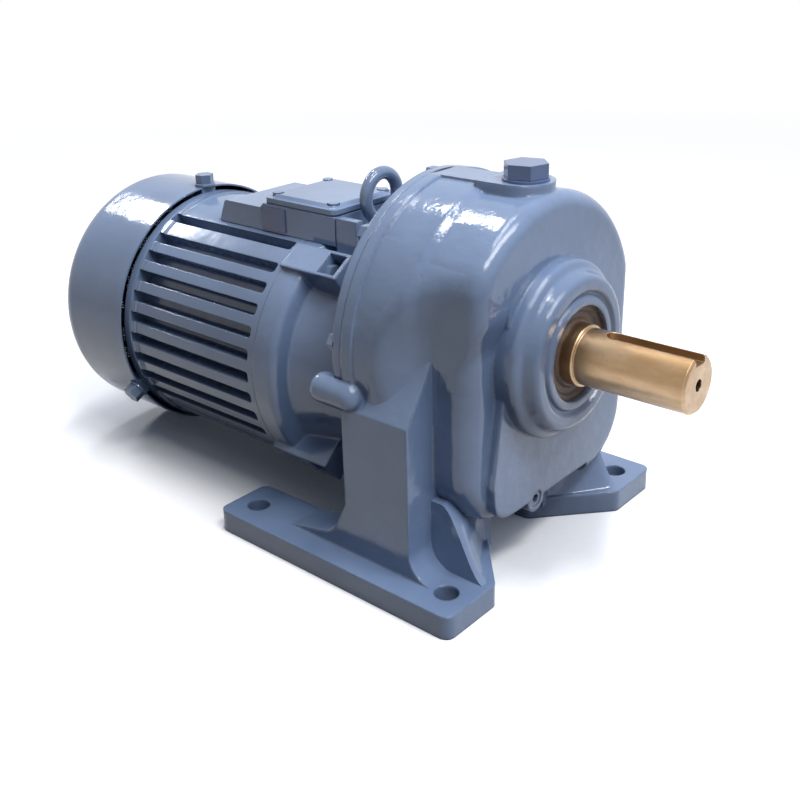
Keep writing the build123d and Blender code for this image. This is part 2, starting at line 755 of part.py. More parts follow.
def rear_end_shield():
    """The rear end shield, with the bearing seat and three lugs for the fan cover."""
    back = frame_back - shield_thickness
    shield = turned([
        (rear_bearing_back - 2, 0),
        (rear_bearing_back - 2, hub_radius - 5, 2),
        (back + 2, hub_radius, 2),
        (back + 2, shield_radius, 3),
        (frame_back, shield_radius),
        (frame_back, frame_bore_radius),
        (frame_back + 4, frame_bore_radius),
        (frame_back + 4, frame_bore_radius - 4),
        (frame_back - 3, frame_bore_radius - 4, 2),
        (frame_back - 3, hub_radius, 2),
        (rear_bearing_front + 1, hub_radius),
        (rear_bearing_front + 1, 0)], z=motor_axis_z)
    inside_cover = cylinder_x(cover_back, cover_front + 6, cover_radius - cover_sheet, z=motor_axis_z)
    for angle in screw_angles:
        lug = axial_lug(cover_screw_x - 6, back + 4, angle, hub_radius + 30, cover_radius, 6)
        shield += lug & inside_cover
    for angle in screw_angles:
        low = cover_radius - cover_sheet - cover_screw_depth
        shield -= radial_bar(cover_screw_x, angle, low, cover_radius, cover_screw_radius)
    shield -= cylinder_x(rear_bearing_back, rear_bearing_front + 2, motor_rear_bearing[1] / 2, z=motor_axis_z)
    shaft_hole = motor_rear_bearing[0] / 2 + 1
    return shield - cylinder_x(rear_bearing_back - 3, rear_bearing_front, shaft_hole, z=motor_axis_z)


def radial_bar(x, angle, low, high, radius):
    """A round bar that points away from the motor axis at an angle from +Y."""
    return Pos(x, 0, motor_axis_z) * Rot(angle - 90, 0, 0) * cylinder_z(low, high, radius)


def fan_cover():
    """The pressed fan cover, with ring slots in its rear wall for the cooling air."""
    shell = turned([
        (cover_front, 0),
        (cover_front, cover_radius),
        (cover_back, cover_radius, cover_rounding),
        (cover_back, 0)], z=motor_axis_z)
    shell -= turned([
        (cover_front + 1, 0),
        (cover_front + 1, cover_radius - cover_sheet),
        (cover_back + cover_sheet, cover_radius - cover_sheet, cover_rounding - cover_sheet),
        (cover_back + cover_sheet, 0)], z=motor_axis_z)
    pitch = (grille_outer - grille_inner + grille_bar) / grille_rings
    slots = Sketch()
    for ring in range(grille_rings):
        inner = grille_inner + ring * pitch
        slots += Circle(inner + pitch - grille_bar) - Circle(inner)
    for spoke in range(grille_spokes):
        arm = Rectangle(grille_outer + grille_bar, grille_bar, align=(Align.MIN, Align.CENTER))
        slots -= Rot(0, 0, 360 / grille_spokes * (spoke + 0.5)) * arm
    shell -= Pos(0, 0, motor_axis_z) * extrude(Plane.YZ.offset(cover_back - 1) * slots, cover_sheet + 2)
    for angle in screw_angles:
        shell -= radial_bar(cover_screw_x, angle, cover_radius - 10, cover_radius + 5, cover_screw_radius)
    return shell


def fan_cover_screws():
    """Hexagon screws that hold the fan cover to the lugs of the rear shield."""
    screws = []
    for angle in screw_angles:
        low = cover_radius - cover_sheet - cover_screw_depth + 1
        seat = cover_radius
        screw = radial_bar(cover_screw_x, angle, low, seat + 1, cover_screw_radius)
        screw += radial_bar(cover_screw_x, angle, seat, seat + washer_thickness, cover_screw_flats / 2 + 1.6)
        hexagon = RegularPolygon(cover_screw_flats / 2, 6, False)
        head = Pos(0, 0, seat + washer_thickness) * extrude(hexagon, cover_screw_head)
        screw += Pos(cover_screw_x, 0, motor_axis_z) * Rot(angle - 90, 0, 0) * head
        screws.append(screw)
    return Compound(children=screws)


def cooling_fan():
    """The radial fan: a hub, a back disc and straight blades that work in either direction."""
    front = fan_back + fan_hub_length
    fan = cylinder_x(fan_back, front, fan_seat_diameter / 2 + 7, z=motor_axis_z)
    fan += cylinder_x(front - fan_disc_thickness, front, fan_radius - 14, z=motor_axis_z)
    blade = prism_y([
        (front - fan_disc_thickness, fan_seat_diameter / 2 + 3),
        (fan_back + 3, fan_seat_diameter / 2 + 3),
        (fan_back - 4, fan_radius - 8, 4),
        (fan_back, fan_radius, 3),
        (front - fan_disc_thickness, fan_radius - 16)], -fan_blade_thickness / 2, fan_blade_thickness / 2)
    for index in range(fan_blade_count):
        fan += Pos(0, 0, motor_axis_z) * Rot(360 / fan_blade_count * index, 0, 0) * blade
    return fan - cylinder_x(fan_back - 5, front + 1, fan_seat_diameter / 2, z=motor_axis_z)


def rotor_shaft():
    """The motor shaft, with the first-stage pinion cut on its front end."""
    seat_front = motor_bearing_front
    shaft = turned([
        (shaft_rear_end, 0),
        (shaft_rear_end, fan_seat_diameter / 2, 1),
        (fan_back + fan_hub_length, fan_seat_diameter / 2),
        (fan_back + fan_hub_length, motor_rear_bearing[0] / 2),
        (rear_bearing_front, motor_rear_bearing[0] / 2),
        (rear_bearing_front, rotor_shaft_radius, 1),
        (motor_bearing_back, rotor_shaft_radius, 1),
        (motor_bearing_back, motor_front_bearing[0] / 2),
        (seat_front, motor_front_bearing[0] / 2),
        (seat_front, motor_journal_radius),
        (stage_1_start - 4, motor_journal_radius, 2),
        (stage_1_start - 1, pinion_neck_radius),
        (stage_1_start, pinion_neck_radius),
        (stage_1_start, 0)], z=motor_axis_z)
    teeth = involute_gear(
        module_1, motor_pinion_teeth, profile_shift, stage_1_width, helix_angle, 0, flank_play)
    return shaft + mesh_place(teeth, stage_1_start, 0, motor_axis_z, layshaft_line_1)


def mesh_place(gear, start, y, z, turn):
    """Set a gear, made from Z = 0 up, on an X axis with its first tooth at an angle from +Y."""
    return Pos(start, y, z) * Rot(turn, 0, 0) * Plane.YZ.location * gear


def rotor_core():
    """The laminated rotor stack."""
    radius = stator_inner_radius - rotor_air_gap
    return tube_x(stator_back, stator_front, radius, rotor_shaft_radius, z=motor_axis_z)


def rotor_end_rings():
    """The cast end rings of the rotor cage, each with short mixing blades."""
    outer = stator_inner_radius - rotor_air_gap
    inner = outer - 13
    rings = []
    for start, end, tip in (
            (stator_back - rotor_ring_length, stator_back, stator_back - 2 * rotor_ring_length),
            (stator_front, stator_front + rotor_ring_length, stator_front + 2 * rotor_ring_length)):
        ring = tube_x(start, end, outer, inner, z=motor_axis_z)
        low = min(tip, start)
        high = max(tip, end)
        for index in range(6):
            blade = block(low, high, -1.5, 1.5, inner + 2, outer - 2)
            ring += Pos(0, 0, motor_axis_z) * Rot(60 * index, 0, 0) * blade
        rings.append(ring)
    return Compound(children=rings)


def layshaft():
    """The intermediate shaft, with the second-stage pinion cut on it."""
    seat = layshaft_rear_bearing[0] / 2
    front_end = layshaft_front_start + layshaft_front_bearing[2]
    bar = turned([
        (layshaft_rear_start, 0),
        (layshaft_rear_start, seat, 0.8),
        (adapter_face, seat),
        (adapter_face, layshaft_gear_bore / 2),
        (stage_1_end, layshaft_gear_bore / 2),
        (stage_1_end, layshaft_collar_radius),
        (stage_1_end + 3, layshaft_collar_radius),
        (stage_2_start, layshaft_gear_bore / 2 - 1.5),
        (stage_2_start, 0)], layshaft_y, layshaft_z)
    tail = turned([
        (stage_2_end, 0),
        (stage_2_end, layshaft_gear_bore / 2 - 1.5),
        (layshaft_front_start, layshaft_gear_bore / 2 - 1.5),
        (layshaft_front_start, seat),
        (front_end, seat, 0.8),
        (front_end, 0)], layshaft_y, layshaft_z)
    teeth = involute_gear(
        module_2, layshaft_pinion_teeth, profile_shift, stage_2_width, helix_angle, 0, flank_play)
    shaft = bar + tail + mesh_place(teeth, stage_2_start, layshaft_y, layshaft_z, layshaft_line_2)
    return shaft - layshaft_key_solid()


def layshaft_key_solid():
    """The parallel key under the layshaft gear."""
    radius = layshaft_gear_bore / 2
    half = layshaft_key_size / 2
    key = block(stage_1_start + 1, stage_1_end - 1, -half, half, radius - half, radius + half)
    return Pos(0, layshaft_y, layshaft_z) * key


def layshaft_gear():
    """The first-stage wheel, dished on both faces."""
    teeth = involute_gear(
        module_1, layshaft_gear_teeth, -profile_shift, stage_1_width, -helix_angle, 0, flank_play)
    turn = layshaft_line_1 + 180 + 180 / layshaft_gear_teeth
    gear = mesh_place(teeth, stage_1_start, layshaft_y, layshaft_z, turn)
    rim = module_1 * layshaft_gear_teeth / 2 - 7
    hub = layshaft_gear_bore / 2 + 6
    dish = stage_1_width / 4
    gear -= tube_x(stage_1_start - 1, stage_1_start + dish, rim, hub, layshaft_y, layshaft_z)
    gear -= tube_x(stage_1_end - dish, stage_1_end + 1, rim, hub, layshaft_y, layshaft_z)
    gear -= cylinder_x(stage_1_start - 1, stage_1_end + 1, layshaft_gear_bore / 2, layshaft_y, layshaft_z)
    return gear - layshaft_key_slot()


def layshaft_key_slot():
    """The keyway broached through the layshaft gear."""
    half = layshaft_key_size / 2
    radius = layshaft_gear_bore / 2
    slot = block(stage_1_start - 1, stage_1_end + 1, -half, half, 0, radius + half)
    return Pos(0, layshaft_y, layshaft_z) * slot


def output_gear_key_solid():
    """The parallel key under the output gear."""
    radius = gear_seat_diameter / 2
    half = output_gear_key_width / 2
    key = block(stage_2_start + 2, stage_2_end - 2, -half, half, radius - 4, radius + 3)
    return Pos(0, 0, shaft_height) * key


def output_gear():
    """The second-stage wheel on the output shaft, dished on both faces and keyed."""
    teeth = involute_gear(
        module_2, output_gear_teeth, -profile_shift, stage_2_width, -helix_angle, 0, flank_play)
    turn = layshaft_line_2 + 180 + 180 / output_gear_teeth
    gear = mesh_place(teeth, stage_2_start, 0, shaft_height, turn)
    rim = module_2 * output_gear_teeth / 2 - 8
    hub = gear_seat_diameter / 2 + 6
    dish = stage_2_width / 4
    gear -= tube_x(stage_2_start - 1, stage_2_start + dish, rim, hub, z=shaft_height)
    gear -= tube_x(stage_2_end - dish, stage_2_end + 1, rim, hub, z=shaft_height)
    gear -= cylinder_x(stage_2_start - 1, stage_2_end + 1, gear_seat_diameter / 2, z=shaft_height)
    half = output_gear_key_width / 2
    slot = block(stage_2_start - 1, stage_2_end + 1, -half, half, 0, gear_seat_diameter / 2 + 3)
    return gear - Pos(0, 0, shaft_height) * slot


def output_shaft():
    """The output shaft: rear seat, waist, gear seat, shoulder, journal and keyed end."""
    seat = gear_seat_diameter / 2
    journal = journal_diameter / 2
    end_radius = output_diameter / 2
    shaft = turned([
        (rear_bearing_start, 0),
        (rear_bearing_start, output_rear_bearing[0] / 2, 0.8),
        (adapter_face, output_rear_bearing[0] / 2),
        (adapter_face, waist_diameter / 2),
        (stage_2_start - 4, waist_diameter / 2, 2),
        (stage_2_start - 4, seat),
        (stage_2_end, seat),
        (stage_2_end, journal + 4, 1),
        (output_bearing_back, journal + 4, 1),
        (output_bearing_back, journal),
        (output_shoulder_x, journal, 1),
        (output_shoulder_x, end_radius),
        (output_end - shaft_chamfer, end_radius),
        (output_end, end_radius - shaft_chamfer),
        (output_end, 0)], z=shaft_height)
    keyway_start = output_end - keyway_length
    bottom = end_radius - keyway_depth
    centre = keyway_start + keyway_width / 2
    shaft -= block(centre, output_end + 1, -keyway_width / 2, keyway_width / 2,
                   shaft_height + bottom, shaft_height + end_radius + 1)
    shaft -= cylinder_z(shaft_height + bottom, shaft_height + end_radius + 1, keyway_width / 2, centre)
    shaft -= cylinder_x(output_end - centre_tap_depth, output_end + 1, centre_tap_radius, z=shaft_height)
    groove_end = stage_2_start - 0.2
    groove_radius = seat - circlip_groove_depth
    groove = tube_x(groove_end - circlip_thickness, groove_end, seat + 1, groove_radius, z=shaft_height)
    return shaft - groove - output_gear_key_solid()


def circlip(start, inner, outer, gap_angle, z):
    """A round circlip with a gap at its lower side."""
    ring = tube_x(start, start + circlip_thickness, outer, inner, z=z)
    half = outer * sin(radians(gap_angle / 2))
    return ring - block(start - 1, start + circlip_thickness + 1, -half, half, z - outer - 1, z)


def bearing_outer(start, size, y, z):
    """The outer ring of a rolling bearing with its two shields."""
    bore, outside, width = size
    ring = outside / 2 - 0.22 * (outside - bore) / 2
    shield = bore / 2 + 0.26 * (outside - bore) / 2 + running_fit * 4
    return turned([
        (start, outside / 2),
        (start + width, outside / 2),
        (start + width, shield),
        (start + width - shield_sheet, shield),
        (start + width - shield_sheet, ring),
        (start + shield_sheet, ring),
        (start + shield_sheet, shield),
        (start, shield)], y, z)


def bearing_inner(start, size, y, z):
    """The inner ring of a rolling bearing."""
    bore, outside, width = size
    return tube_x(start, start + width, bore / 2 + 0.26 * (outside - bore) / 2, bore / 2, y, z)


def oil_seal(start, size, shaft_radius, z):
    """A lip seal: a rubber-covered ring with a recessed face and a lip that runs on the shaft."""
    outside, width = size
    lip = shaft_radius + running_fit
    return turned([
        (start, outside / 2),
        (start + width, outside / 2),
        (start + width, outside / 2 - 3),
        (start + width - 1.5, outside / 2 - 4.5),
        (start + width - 1.5, lip + 2.5),
        (start + width, lip + 1),
        (start + width, lip),
        (start, lip)], z=z)


def filler_plug():
    """The filler and vent plug on top of the case."""
    seat = filler_pad_top + washer_thickness
    plug = cylinder_z(filler_pad_top - filler_thread_length, seat + 1, filler_thread_radius, filler_x)
    head = extrude(RegularPolygon(filler_head_flats / 2, 6, False), filler_head_height)
    plug += Pos(filler_x, 0, seat) * Rot(0, 0, 15) * head
    return plug & cylinder_z(0, seat + filler_head_height, filler_head_flats, filler_x)


def filler_washer():
    """The sealing washer under the filler plug."""
    top = filler_pad_top + washer_thickness
    ring = cylinder_z(filler_pad_top, top, filler_head_flats / 2 + 2, filler_x)
    return ring - cylinder_z(filler_pad_top - 1, top + 1, filler_thread_radius, filler_x)


def drain_plug():
    """The drain plug, sunk in the front plate, with a hexagon socket."""
    start = front_wall_inner + 5
    plug = cylinder_x(start, case_front - 1, drain_radius, drain_y, drain_z)
    return plug - hex_bar(case_front - 5, case_front, drain_radius, drain_y, drain_z)


def eyebolt():
    """The lifting eyebolt: ring, collar and threaded shank."""
    ring = Torus(eyebolt_ring_radius, eyebolt_wire_radius)
    bolt = Pos(eyebolt_x, 0, eyebolt_centre_z) * Rot(0, 90, 0) * ring
    collar_top = eyebolt_centre_z - eyebolt_ring_radius
    bolt += Pos(eyebolt_x, 0, eyebolt_seat_z) * Cone(
        10, 5, collar_top - eyebolt_seat_z, align=(Align.CENTER, Align.CENTER, Align.MIN))
    bottom = eyebolt_seat_z - eyebolt_thread_depth
    return bolt + cylinder_z(bottom, eyebolt_seat_z + 1, eyebolt_wire_radius, eyebolt_x)


def box_screw_places():
    """The four corners where the terminal lid is screwed down."""
    x0 = box_low_front + lid_inset + 5
    x1 = box_front - lid_inset - 5
    y1 = box_half_width - lid_inset - 5
    return [(x0, -y1), (x1, -y1), (x0, y1), (x1, y1)]


def terminal_box():
    """The low terminal box on top of the motor, with a lower closed tail."""
    body = prism_y([
        (box_back, box_bottom),
        (box_back + box_slope, box_low_top, 3),
        (box_low_front, box_low_top),
        (box_low_front + 3, box_top),
        (box_front, box_top),
        (box_front, box_bottom)], -box_half_width, box_half_width)
    inner_front = box_front - box_wall
    floor = box_bottom + box_wall
    half = box_half_width - box_wall
    step_x = box_low_front + 3 + box_wall
    body -= block(step_x, inner_front, -half, half, floor, box_top + 1)
    body -= block(box_back + box_slope + 3, step_x, -half, half, floor, box_low_top - box_wall)
    for x, y in box_screw_places():
        body += cylinder_z(box_bottom, box_top, 4.5, x, y)
        body -= cylinder_z(box_top - 8, box_top + 1, lid_screw_radius, x, y)
    body -= cylinder_z(box_bottom - 1, floor + 1, lead_hole_radius, lead_hole_x)
    entry = Pos(gland_x, box_half_width + 1, gland_z) * Rot(90, 0, 0) * Cylinder(
        gland_radius, box_wall + 2, align=(Align.CENTER, Align.CENTER, Align.MIN))
    return body - entry


def lid_plan(inset, low, high):
    """A rounded plate with the plan of the terminal lid."""
    return extrude(Pos(0, 0, low) * outline([
        (box_low_front + 3 + inset, -box_half_width + inset, 4),
        (box_front - inset, -box_half_width + inset, 4),
        (box_front - inset, box_half_width - inset, 4),
        (box_low_front + 3 + inset, box_half_width - inset, 4)]), high - low)


def lid_gasket_sheet():
    """The gasket under the terminal lid."""
    sheet = lid_plan(0.5, box_top, lid_base) - lid_plan(box_wall + 5, box_top - 1, lid_base + 1)
    for x, y in box_screw_places():
        sheet += cylinder_z(box_top, lid_base, 4.5, x, y)
        sheet -= cylinder_z(box_top - 1, lid_base + 1, lid_screw_radius, x, y)
    return sheet


def terminal_lid():
    """The terminal lid: a flange with a raised, chamfered crown, hollow underneath."""
    lid = lid_plan(0.5, lid_base, lid_base + 3)
    crown = lid_plan(lid_inset, lid_base + 2, lid_top)
    crown = chamfer(crown.faces().sort_by(Axis.Z)[-1].edges(), 2)
    lid += crown
    lid -= lid_plan(lid_inset + 9, lid_base - 1, lid_top - 2)
    for x, y in box_screw_places():
        lid -= cylinder_z(lid_base + 3, lid_top + 1, lid_screw_radius + 2.5, x, y)
        lid -= cylinder_z(lid_base - 1, lid_top + 1, lid_screw_radius, x, y)
    return lid


def terminal_lid_screws():
    """Pan-head screws that hold the terminal lid."""
    screws = []
    for x, y in box_screw_places():
        screw = cylinder_z(box_top - 7, lid_base + 3.5, lid_screw_radius, x, y)
        screws.append(screw + cylinder_z(lid_base + 3, lid_base + 5.5, lid_screw_radius + 2, x, y))
    return Compound(children=screws)


def terminal_block():
    """The moulded block that carries the six terminal studs."""
    floor = box_bottom + box_wall
    base = block(terminal_x - 16, terminal_x + 16, -14, 14, floor, floor + 6)
    for row in (-1, 1):
        for column in (-1, 0, 1):
            post = Pos(terminal_x + 10 * column, 7 * row, floor)
            base -= post * Cylinder(stud_radius, 20, align=(Align.CENTER, Align.CENTER, Align.MIN))
    base += block(terminal_x - 16, terminal_x + 16, -0.8, 0.8, floor, floor + 9)
    return base


def terminal_studs():
    """Six brass studs, each with its nut."""
    floor = box_bottom + box_wall
    studs = []
    for row in (-1, 1):
        for column in (-1, 0, 1):
            x = terminal_x + 10 * column
            stud = cylinder_z(floor, floor + 12, stud_radius, x, 7 * row)
            nut = Pos(x, 7 * row, floor + 6) * extrude(RegularPolygon(3.5, 6, False), 3)
            studs.append(stud + nut)
    return Compound(children=studs)


def cable_gland():
    """The cable gland in the far wall of the terminal box: thread, hexagon and dome nut, open through."""
    inner = box_half_width - box_wall - 2
    seat = box_half_width
    profile = outline([
        (inner, gland_bore_radius),
        (inner, gland_radius),
        (seat, gland_radius),
        (seat, gland_flats / 2),
        (seat + 5, gland_flats / 2),
        (seat + 5, gland_flats / 2 - 1.2),
        (seat + 12, gland_flats / 2 - 1.2, 3),
        (seat + 14, gland_bore_radius)])
    body = revolve(Plane.XY * Rot(0, 0, 90) * profile, Axis.Y, 360)
    return Pos(gland_x, 0, gland_z) * body


def gland_locknut():
    """The locknut of the gland, inside the terminal box."""
    inner = box_half_width - box_wall
    nut = extrude(Plane.XZ.offset(-inner) * RegularPolygon(locknut_flats / 2, 6, False), 2)
    nut -= Pos(0, inner + 1, 0) * Rot(90, 0, 0) * Cylinder(
        gland_radius, 4, align=(Align.CENTER, Align.CENTER, Align.MIN))
    return Pos(gland_x, 0, gland_z) * nut


def side_plate():
    """The bare plate on the side of the terminal box."""
    y = -box_half_width
    return block(plate_back, plate_front, y - side_plate_thickness, y, box_bottom + 1.5, box_top - 1.5)


def fan_circlip():
    """The retaining ring behind the fan."""
    start = fan_back - circlip_thickness
    return tube_x(start, fan_back, fan_seat_diameter / 2 + 4, fan_seat_diameter / 2, z=motor_axis_z)


def wave_washer():
    """The preload washer behind the rear motor bearing."""
    bore, outside, _ = motor_rear_bearing
    return tube_x(rear_bearing_back, rear_bearing_start_x, outside / 2, bore / 2 + 8, z=motor_axis_z)


pieces = {
    "gear_case": gear_case(),
    "case_gasket": case_gasket(),
    "motor_adapter": motor_adapter(),
    "case_bolts": case_bolts(),
    "tie_bolts": tie_bolts(),
    "motor_frame": motor_frame(),
    "stator_core": stator_core(),
    "stator_windings": stator_windings(),
    "rear_end_shield": rear_end_shield(),
    "fan_cover": fan_cover(),
    "fan_cover_screws": fan_cover_screws(),
    "cooling_fan": cooling_fan(),
    "fan_circlip": fan_circlip(),
    "motor_shaft": rotor_shaft(),
    "rotor_core": rotor_core(),
    "rotor_end_rings": rotor_end_rings(),
    "layshaft": layshaft(),
    "layshaft_gear": layshaft_gear(),
    "layshaft_key": layshaft_key_solid(),
    "output_shaft": output_shaft(),
    "output_gear": output_gear(),
    "output_gear_key": output_gear_key_solid(),
    "output_gear_circlip": circlip(
        stage_2_start - 0.2 - circlip_thickness, gear_seat_diameter / 2 - circlip_groove_depth,
        gear_seat_diameter / 2 + 3, 40, shaft_height),
    "output_bearing_circlip": circlip(
        output_bearing_back - circlip_thickness, output_front_bearing[1] / 2 - 4,
        output_front_bearing[1] / 2 + 1.8, 30, shaft_height),
    "output_oil_seal": oil_seal(output_seal_back, output_seal, journal_diameter / 2, shaft_height),
    "motor_oil_seal": oil_seal(motor_seal_back, motor_seal, motor_journal_radius, motor_axis_z),
    "filler_plug": filler_plug(),
    "filler_plug_washer": filler_washer(),
    "drain_plug": drain_plug(),
    "eyebolt": eyebolt(),
    "terminal_box": terminal_box(),
    "terminal_lid_gasket": lid_gasket_sheet(),
    "terminal_lid": terminal_lid(),
    "terminal_lid_screws": terminal_lid_screws(),
    "terminal_block": terminal_block(),
    "terminal_studs": terminal_studs(),
    "cable_gland": cable_gland(),
    "gland_locknut": gland_locknut(),
    "side_plate": side_plate(),
    "wave_washer": wave_washer(),
}

bearings = {
    "output_front_bearing": (output_bearing_back, output_front_bearing, 0.0, shaft_height),
    "output_rear_bearing": (rear_bearing_start, output_rear_bearing, 0.0, shaft_height),
    "layshaft_front_bearing": (layshaft_front_start, layshaft_front_bearing, layshaft_y, layshaft_z),
    "layshaft_rear_bearing": (layshaft_rear_start, layshaft_rear_bearing, layshaft_y, layshaft_z),
    "motor_front_bearing": (motor_bearing_back, motor_front_bearing, 0.0, motor_axis_z),
    "motor_rear_bearing": (rear_bearing_start_x, motor_rear_bearing, 0.0, motor_axis_z),
}
for name, place in bearings.items():
    pieces[name + "_outer_ring"] = bearing_outer(*place)
    pieces[name + "_inner_ring"] = bearing_inner(*place)

os.makedirs("parts", exist_ok=True)
for name, piece in pieces.items():
    export_step(piece, f"parts/{name}.step")
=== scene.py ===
"""Looks of a foot-mounted helical gear motor: gloss enamel, oiled steel, fasteners and a plain studio."""

import json
import math

import bmesh
import bpy
from bpy.props import FloatProperty, FloatVectorProperty, PointerProperty
from bpy.types import Operator, Panel, PropertyGroup
from mathutils import Matrix, Quaternion, Vector


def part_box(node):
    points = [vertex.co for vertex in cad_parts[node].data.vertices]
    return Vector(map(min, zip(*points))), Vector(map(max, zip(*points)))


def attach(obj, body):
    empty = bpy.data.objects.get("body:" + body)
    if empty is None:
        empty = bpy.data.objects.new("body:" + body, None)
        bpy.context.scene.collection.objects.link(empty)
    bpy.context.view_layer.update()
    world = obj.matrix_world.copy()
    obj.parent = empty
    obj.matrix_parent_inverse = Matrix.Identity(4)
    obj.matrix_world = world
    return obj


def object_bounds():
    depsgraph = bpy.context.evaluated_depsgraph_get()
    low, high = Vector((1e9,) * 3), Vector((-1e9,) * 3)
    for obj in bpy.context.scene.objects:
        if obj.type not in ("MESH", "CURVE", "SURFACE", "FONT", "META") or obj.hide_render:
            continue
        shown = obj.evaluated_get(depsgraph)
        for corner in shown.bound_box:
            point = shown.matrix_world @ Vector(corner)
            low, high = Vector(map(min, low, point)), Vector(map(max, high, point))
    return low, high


bl_info = {
    "name": "Helical gear motor",
    "version": (1, 0, 0),
    "blender": (4, 5, 0),
    "location": "3D View > Sidebar > Gear motor",
    "description": "Dresses a foot-mounted helical gear motor and lights it on a pale floor",
    "category": "Object",
}

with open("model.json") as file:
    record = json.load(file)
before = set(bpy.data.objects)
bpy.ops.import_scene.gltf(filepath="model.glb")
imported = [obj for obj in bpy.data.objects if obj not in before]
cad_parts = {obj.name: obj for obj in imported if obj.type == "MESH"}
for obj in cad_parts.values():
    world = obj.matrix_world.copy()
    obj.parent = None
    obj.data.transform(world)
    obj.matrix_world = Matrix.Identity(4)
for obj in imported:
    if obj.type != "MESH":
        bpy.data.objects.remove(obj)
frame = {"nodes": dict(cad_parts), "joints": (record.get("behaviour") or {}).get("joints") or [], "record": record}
cad_box = [list(corner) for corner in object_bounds()]
mm = 0.001

# Shaft lines, from the joints of the frame
joint_places = {joint["name"]: Vector(joint["pos_m"]) for joint in frame["joints"]}
output_axis = joint_places["output_spin"]
motor_axis = joint_places["motor_spin"]

# The gear case in mm, where the soft blends of its casting join it
shaft_height = output_axis.z / mm
barrel_radius = 89.5
barrel_fall_x = 40.0
barrel_fall = 0.45
nose_radius = 87.0
shoulder_radius = 28.0
left_side_y = 70.0
right_side_y = 82.0
flat_back_x = 26.0
flat_slant_bottom = 150.0
flat_slant = 0.45
case_front = 82.0
nose_rounding = 9.0
recess_depth = 6.0
recess_rounding = 12.0
recess_back_x = 60.0
recess_slant = 35.0 / 22.5
foot_top = 14.0

# The screen behind the air grille, inside the rear wall of the fan cover
screen_gap = 2 * mm
screen_margin = 20 * mm

# The camera, solved from the edges and circles of the photograph
image_size = 800
view_azimuth = 42.0
view_elevation = 21.65
view_roll = -1.58
view_distance = 0.6833
view_target = Vector((-0.0467, 0.0, 0.1))
focal_pixels = 1066.2
centre_pixel = (382.6, 346.6)
sensor_width = 36.0
clip_start = 0.02

# The stage: what lamps and the surround light, and what the eye sees of the background
white = (1.0, 1.0, 1.0)
floor_shade = (0.045, 0.05, 0.055)
surround_low = (0.02, 0.026, 0.038)
surround_high = (0.84, 0.93, 1.12)
warm_light = (1.0, 0.99, 0.97)
cool_light = (0.97, 0.98, 1.0)
lamp_aim_height = 0.1
floor_drop = 0.2 * mm

# Name, place, size, share of the lamp power and colour of each softbox
softboxes = (
    ("nose_softbox", (0.8, -0.12, 1.46), (1.1, 0.26), 2.1, warm_light),
    ("overhead_softbox", (0.04, 0.05, 1.6), (0.8, 0.13), 1.1, warm_light),
    ("back_softbox", (-0.74, 0.31, 1.3), (0.18, 0.1), 0.3, cool_light),
    ("cover_softbox", (-1.37, 0.08, 1.08), (0.42, 0.12), 0.6, cool_light),
)

# Sockets of Blender's Mix node when it mixes colours
mix_factor, mix_first, mix_second, mix_result = 0, 6, 7, 2


class Value:
    """A number inside a material. A sum, difference, product or power of values adds a Math node."""

    def __init__(self, tree, socket):
        self.tree = tree
        self.socket = socket

    def math(self, operation, *values):
        """A Math node on some values."""
        node = self.tree.nodes.new("ShaderNodeMath")
        node.operation = operation
        for socket, value in zip(node.inputs, values):
            feed(self.tree, socket, value)
        return Value(self.tree, node.outputs[0])

    def __add__(self, other):
        return self.math("ADD", self, other)

    __radd__ = __add__

    def __sub__(self, other):
        return self.math("SUBTRACT", self, other)

    def __rsub__(self, other):
        return self.math("SUBTRACT", other, self)

    def __mul__(self, other):
        return self.math("MULTIPLY", self, other)

    __rmul__ = __mul__

    def __pow__(self, other):
        return self.math("POWER", self, other)

    def smallest(self, other):
        """The smaller of this value and another."""
        return self.math("MINIMUM", self, other)

    def sine(self):
        """The sine of this value, in radians."""
        return self.math("SINE", self)

    def ramp(self, low, high):
        """A smooth step from 0 to 1 as this value goes from low to high."""
        node = self.tree.nodes.new("ShaderNodeMapRange")
        node.interpolation_type = "SMOOTHSTEP"
        for name, value in (("Value", self), ("From Min", low), ("From Max", high)):
            feed(self.tree, node.inputs[name], value)
        return Value(self.tree, node.outputs[0])


def feed(tree, socket, value):
    """Link a value to a socket, or set a plain number or colour on it."""
    if isinstance(value, Value):
        tree.links.new(value.socket, socket)
    elif socket.type == "RGBA" and len(value) == 3:
        socket.default_value = (*value, 1.0)
    else:
        socket.default_value = value


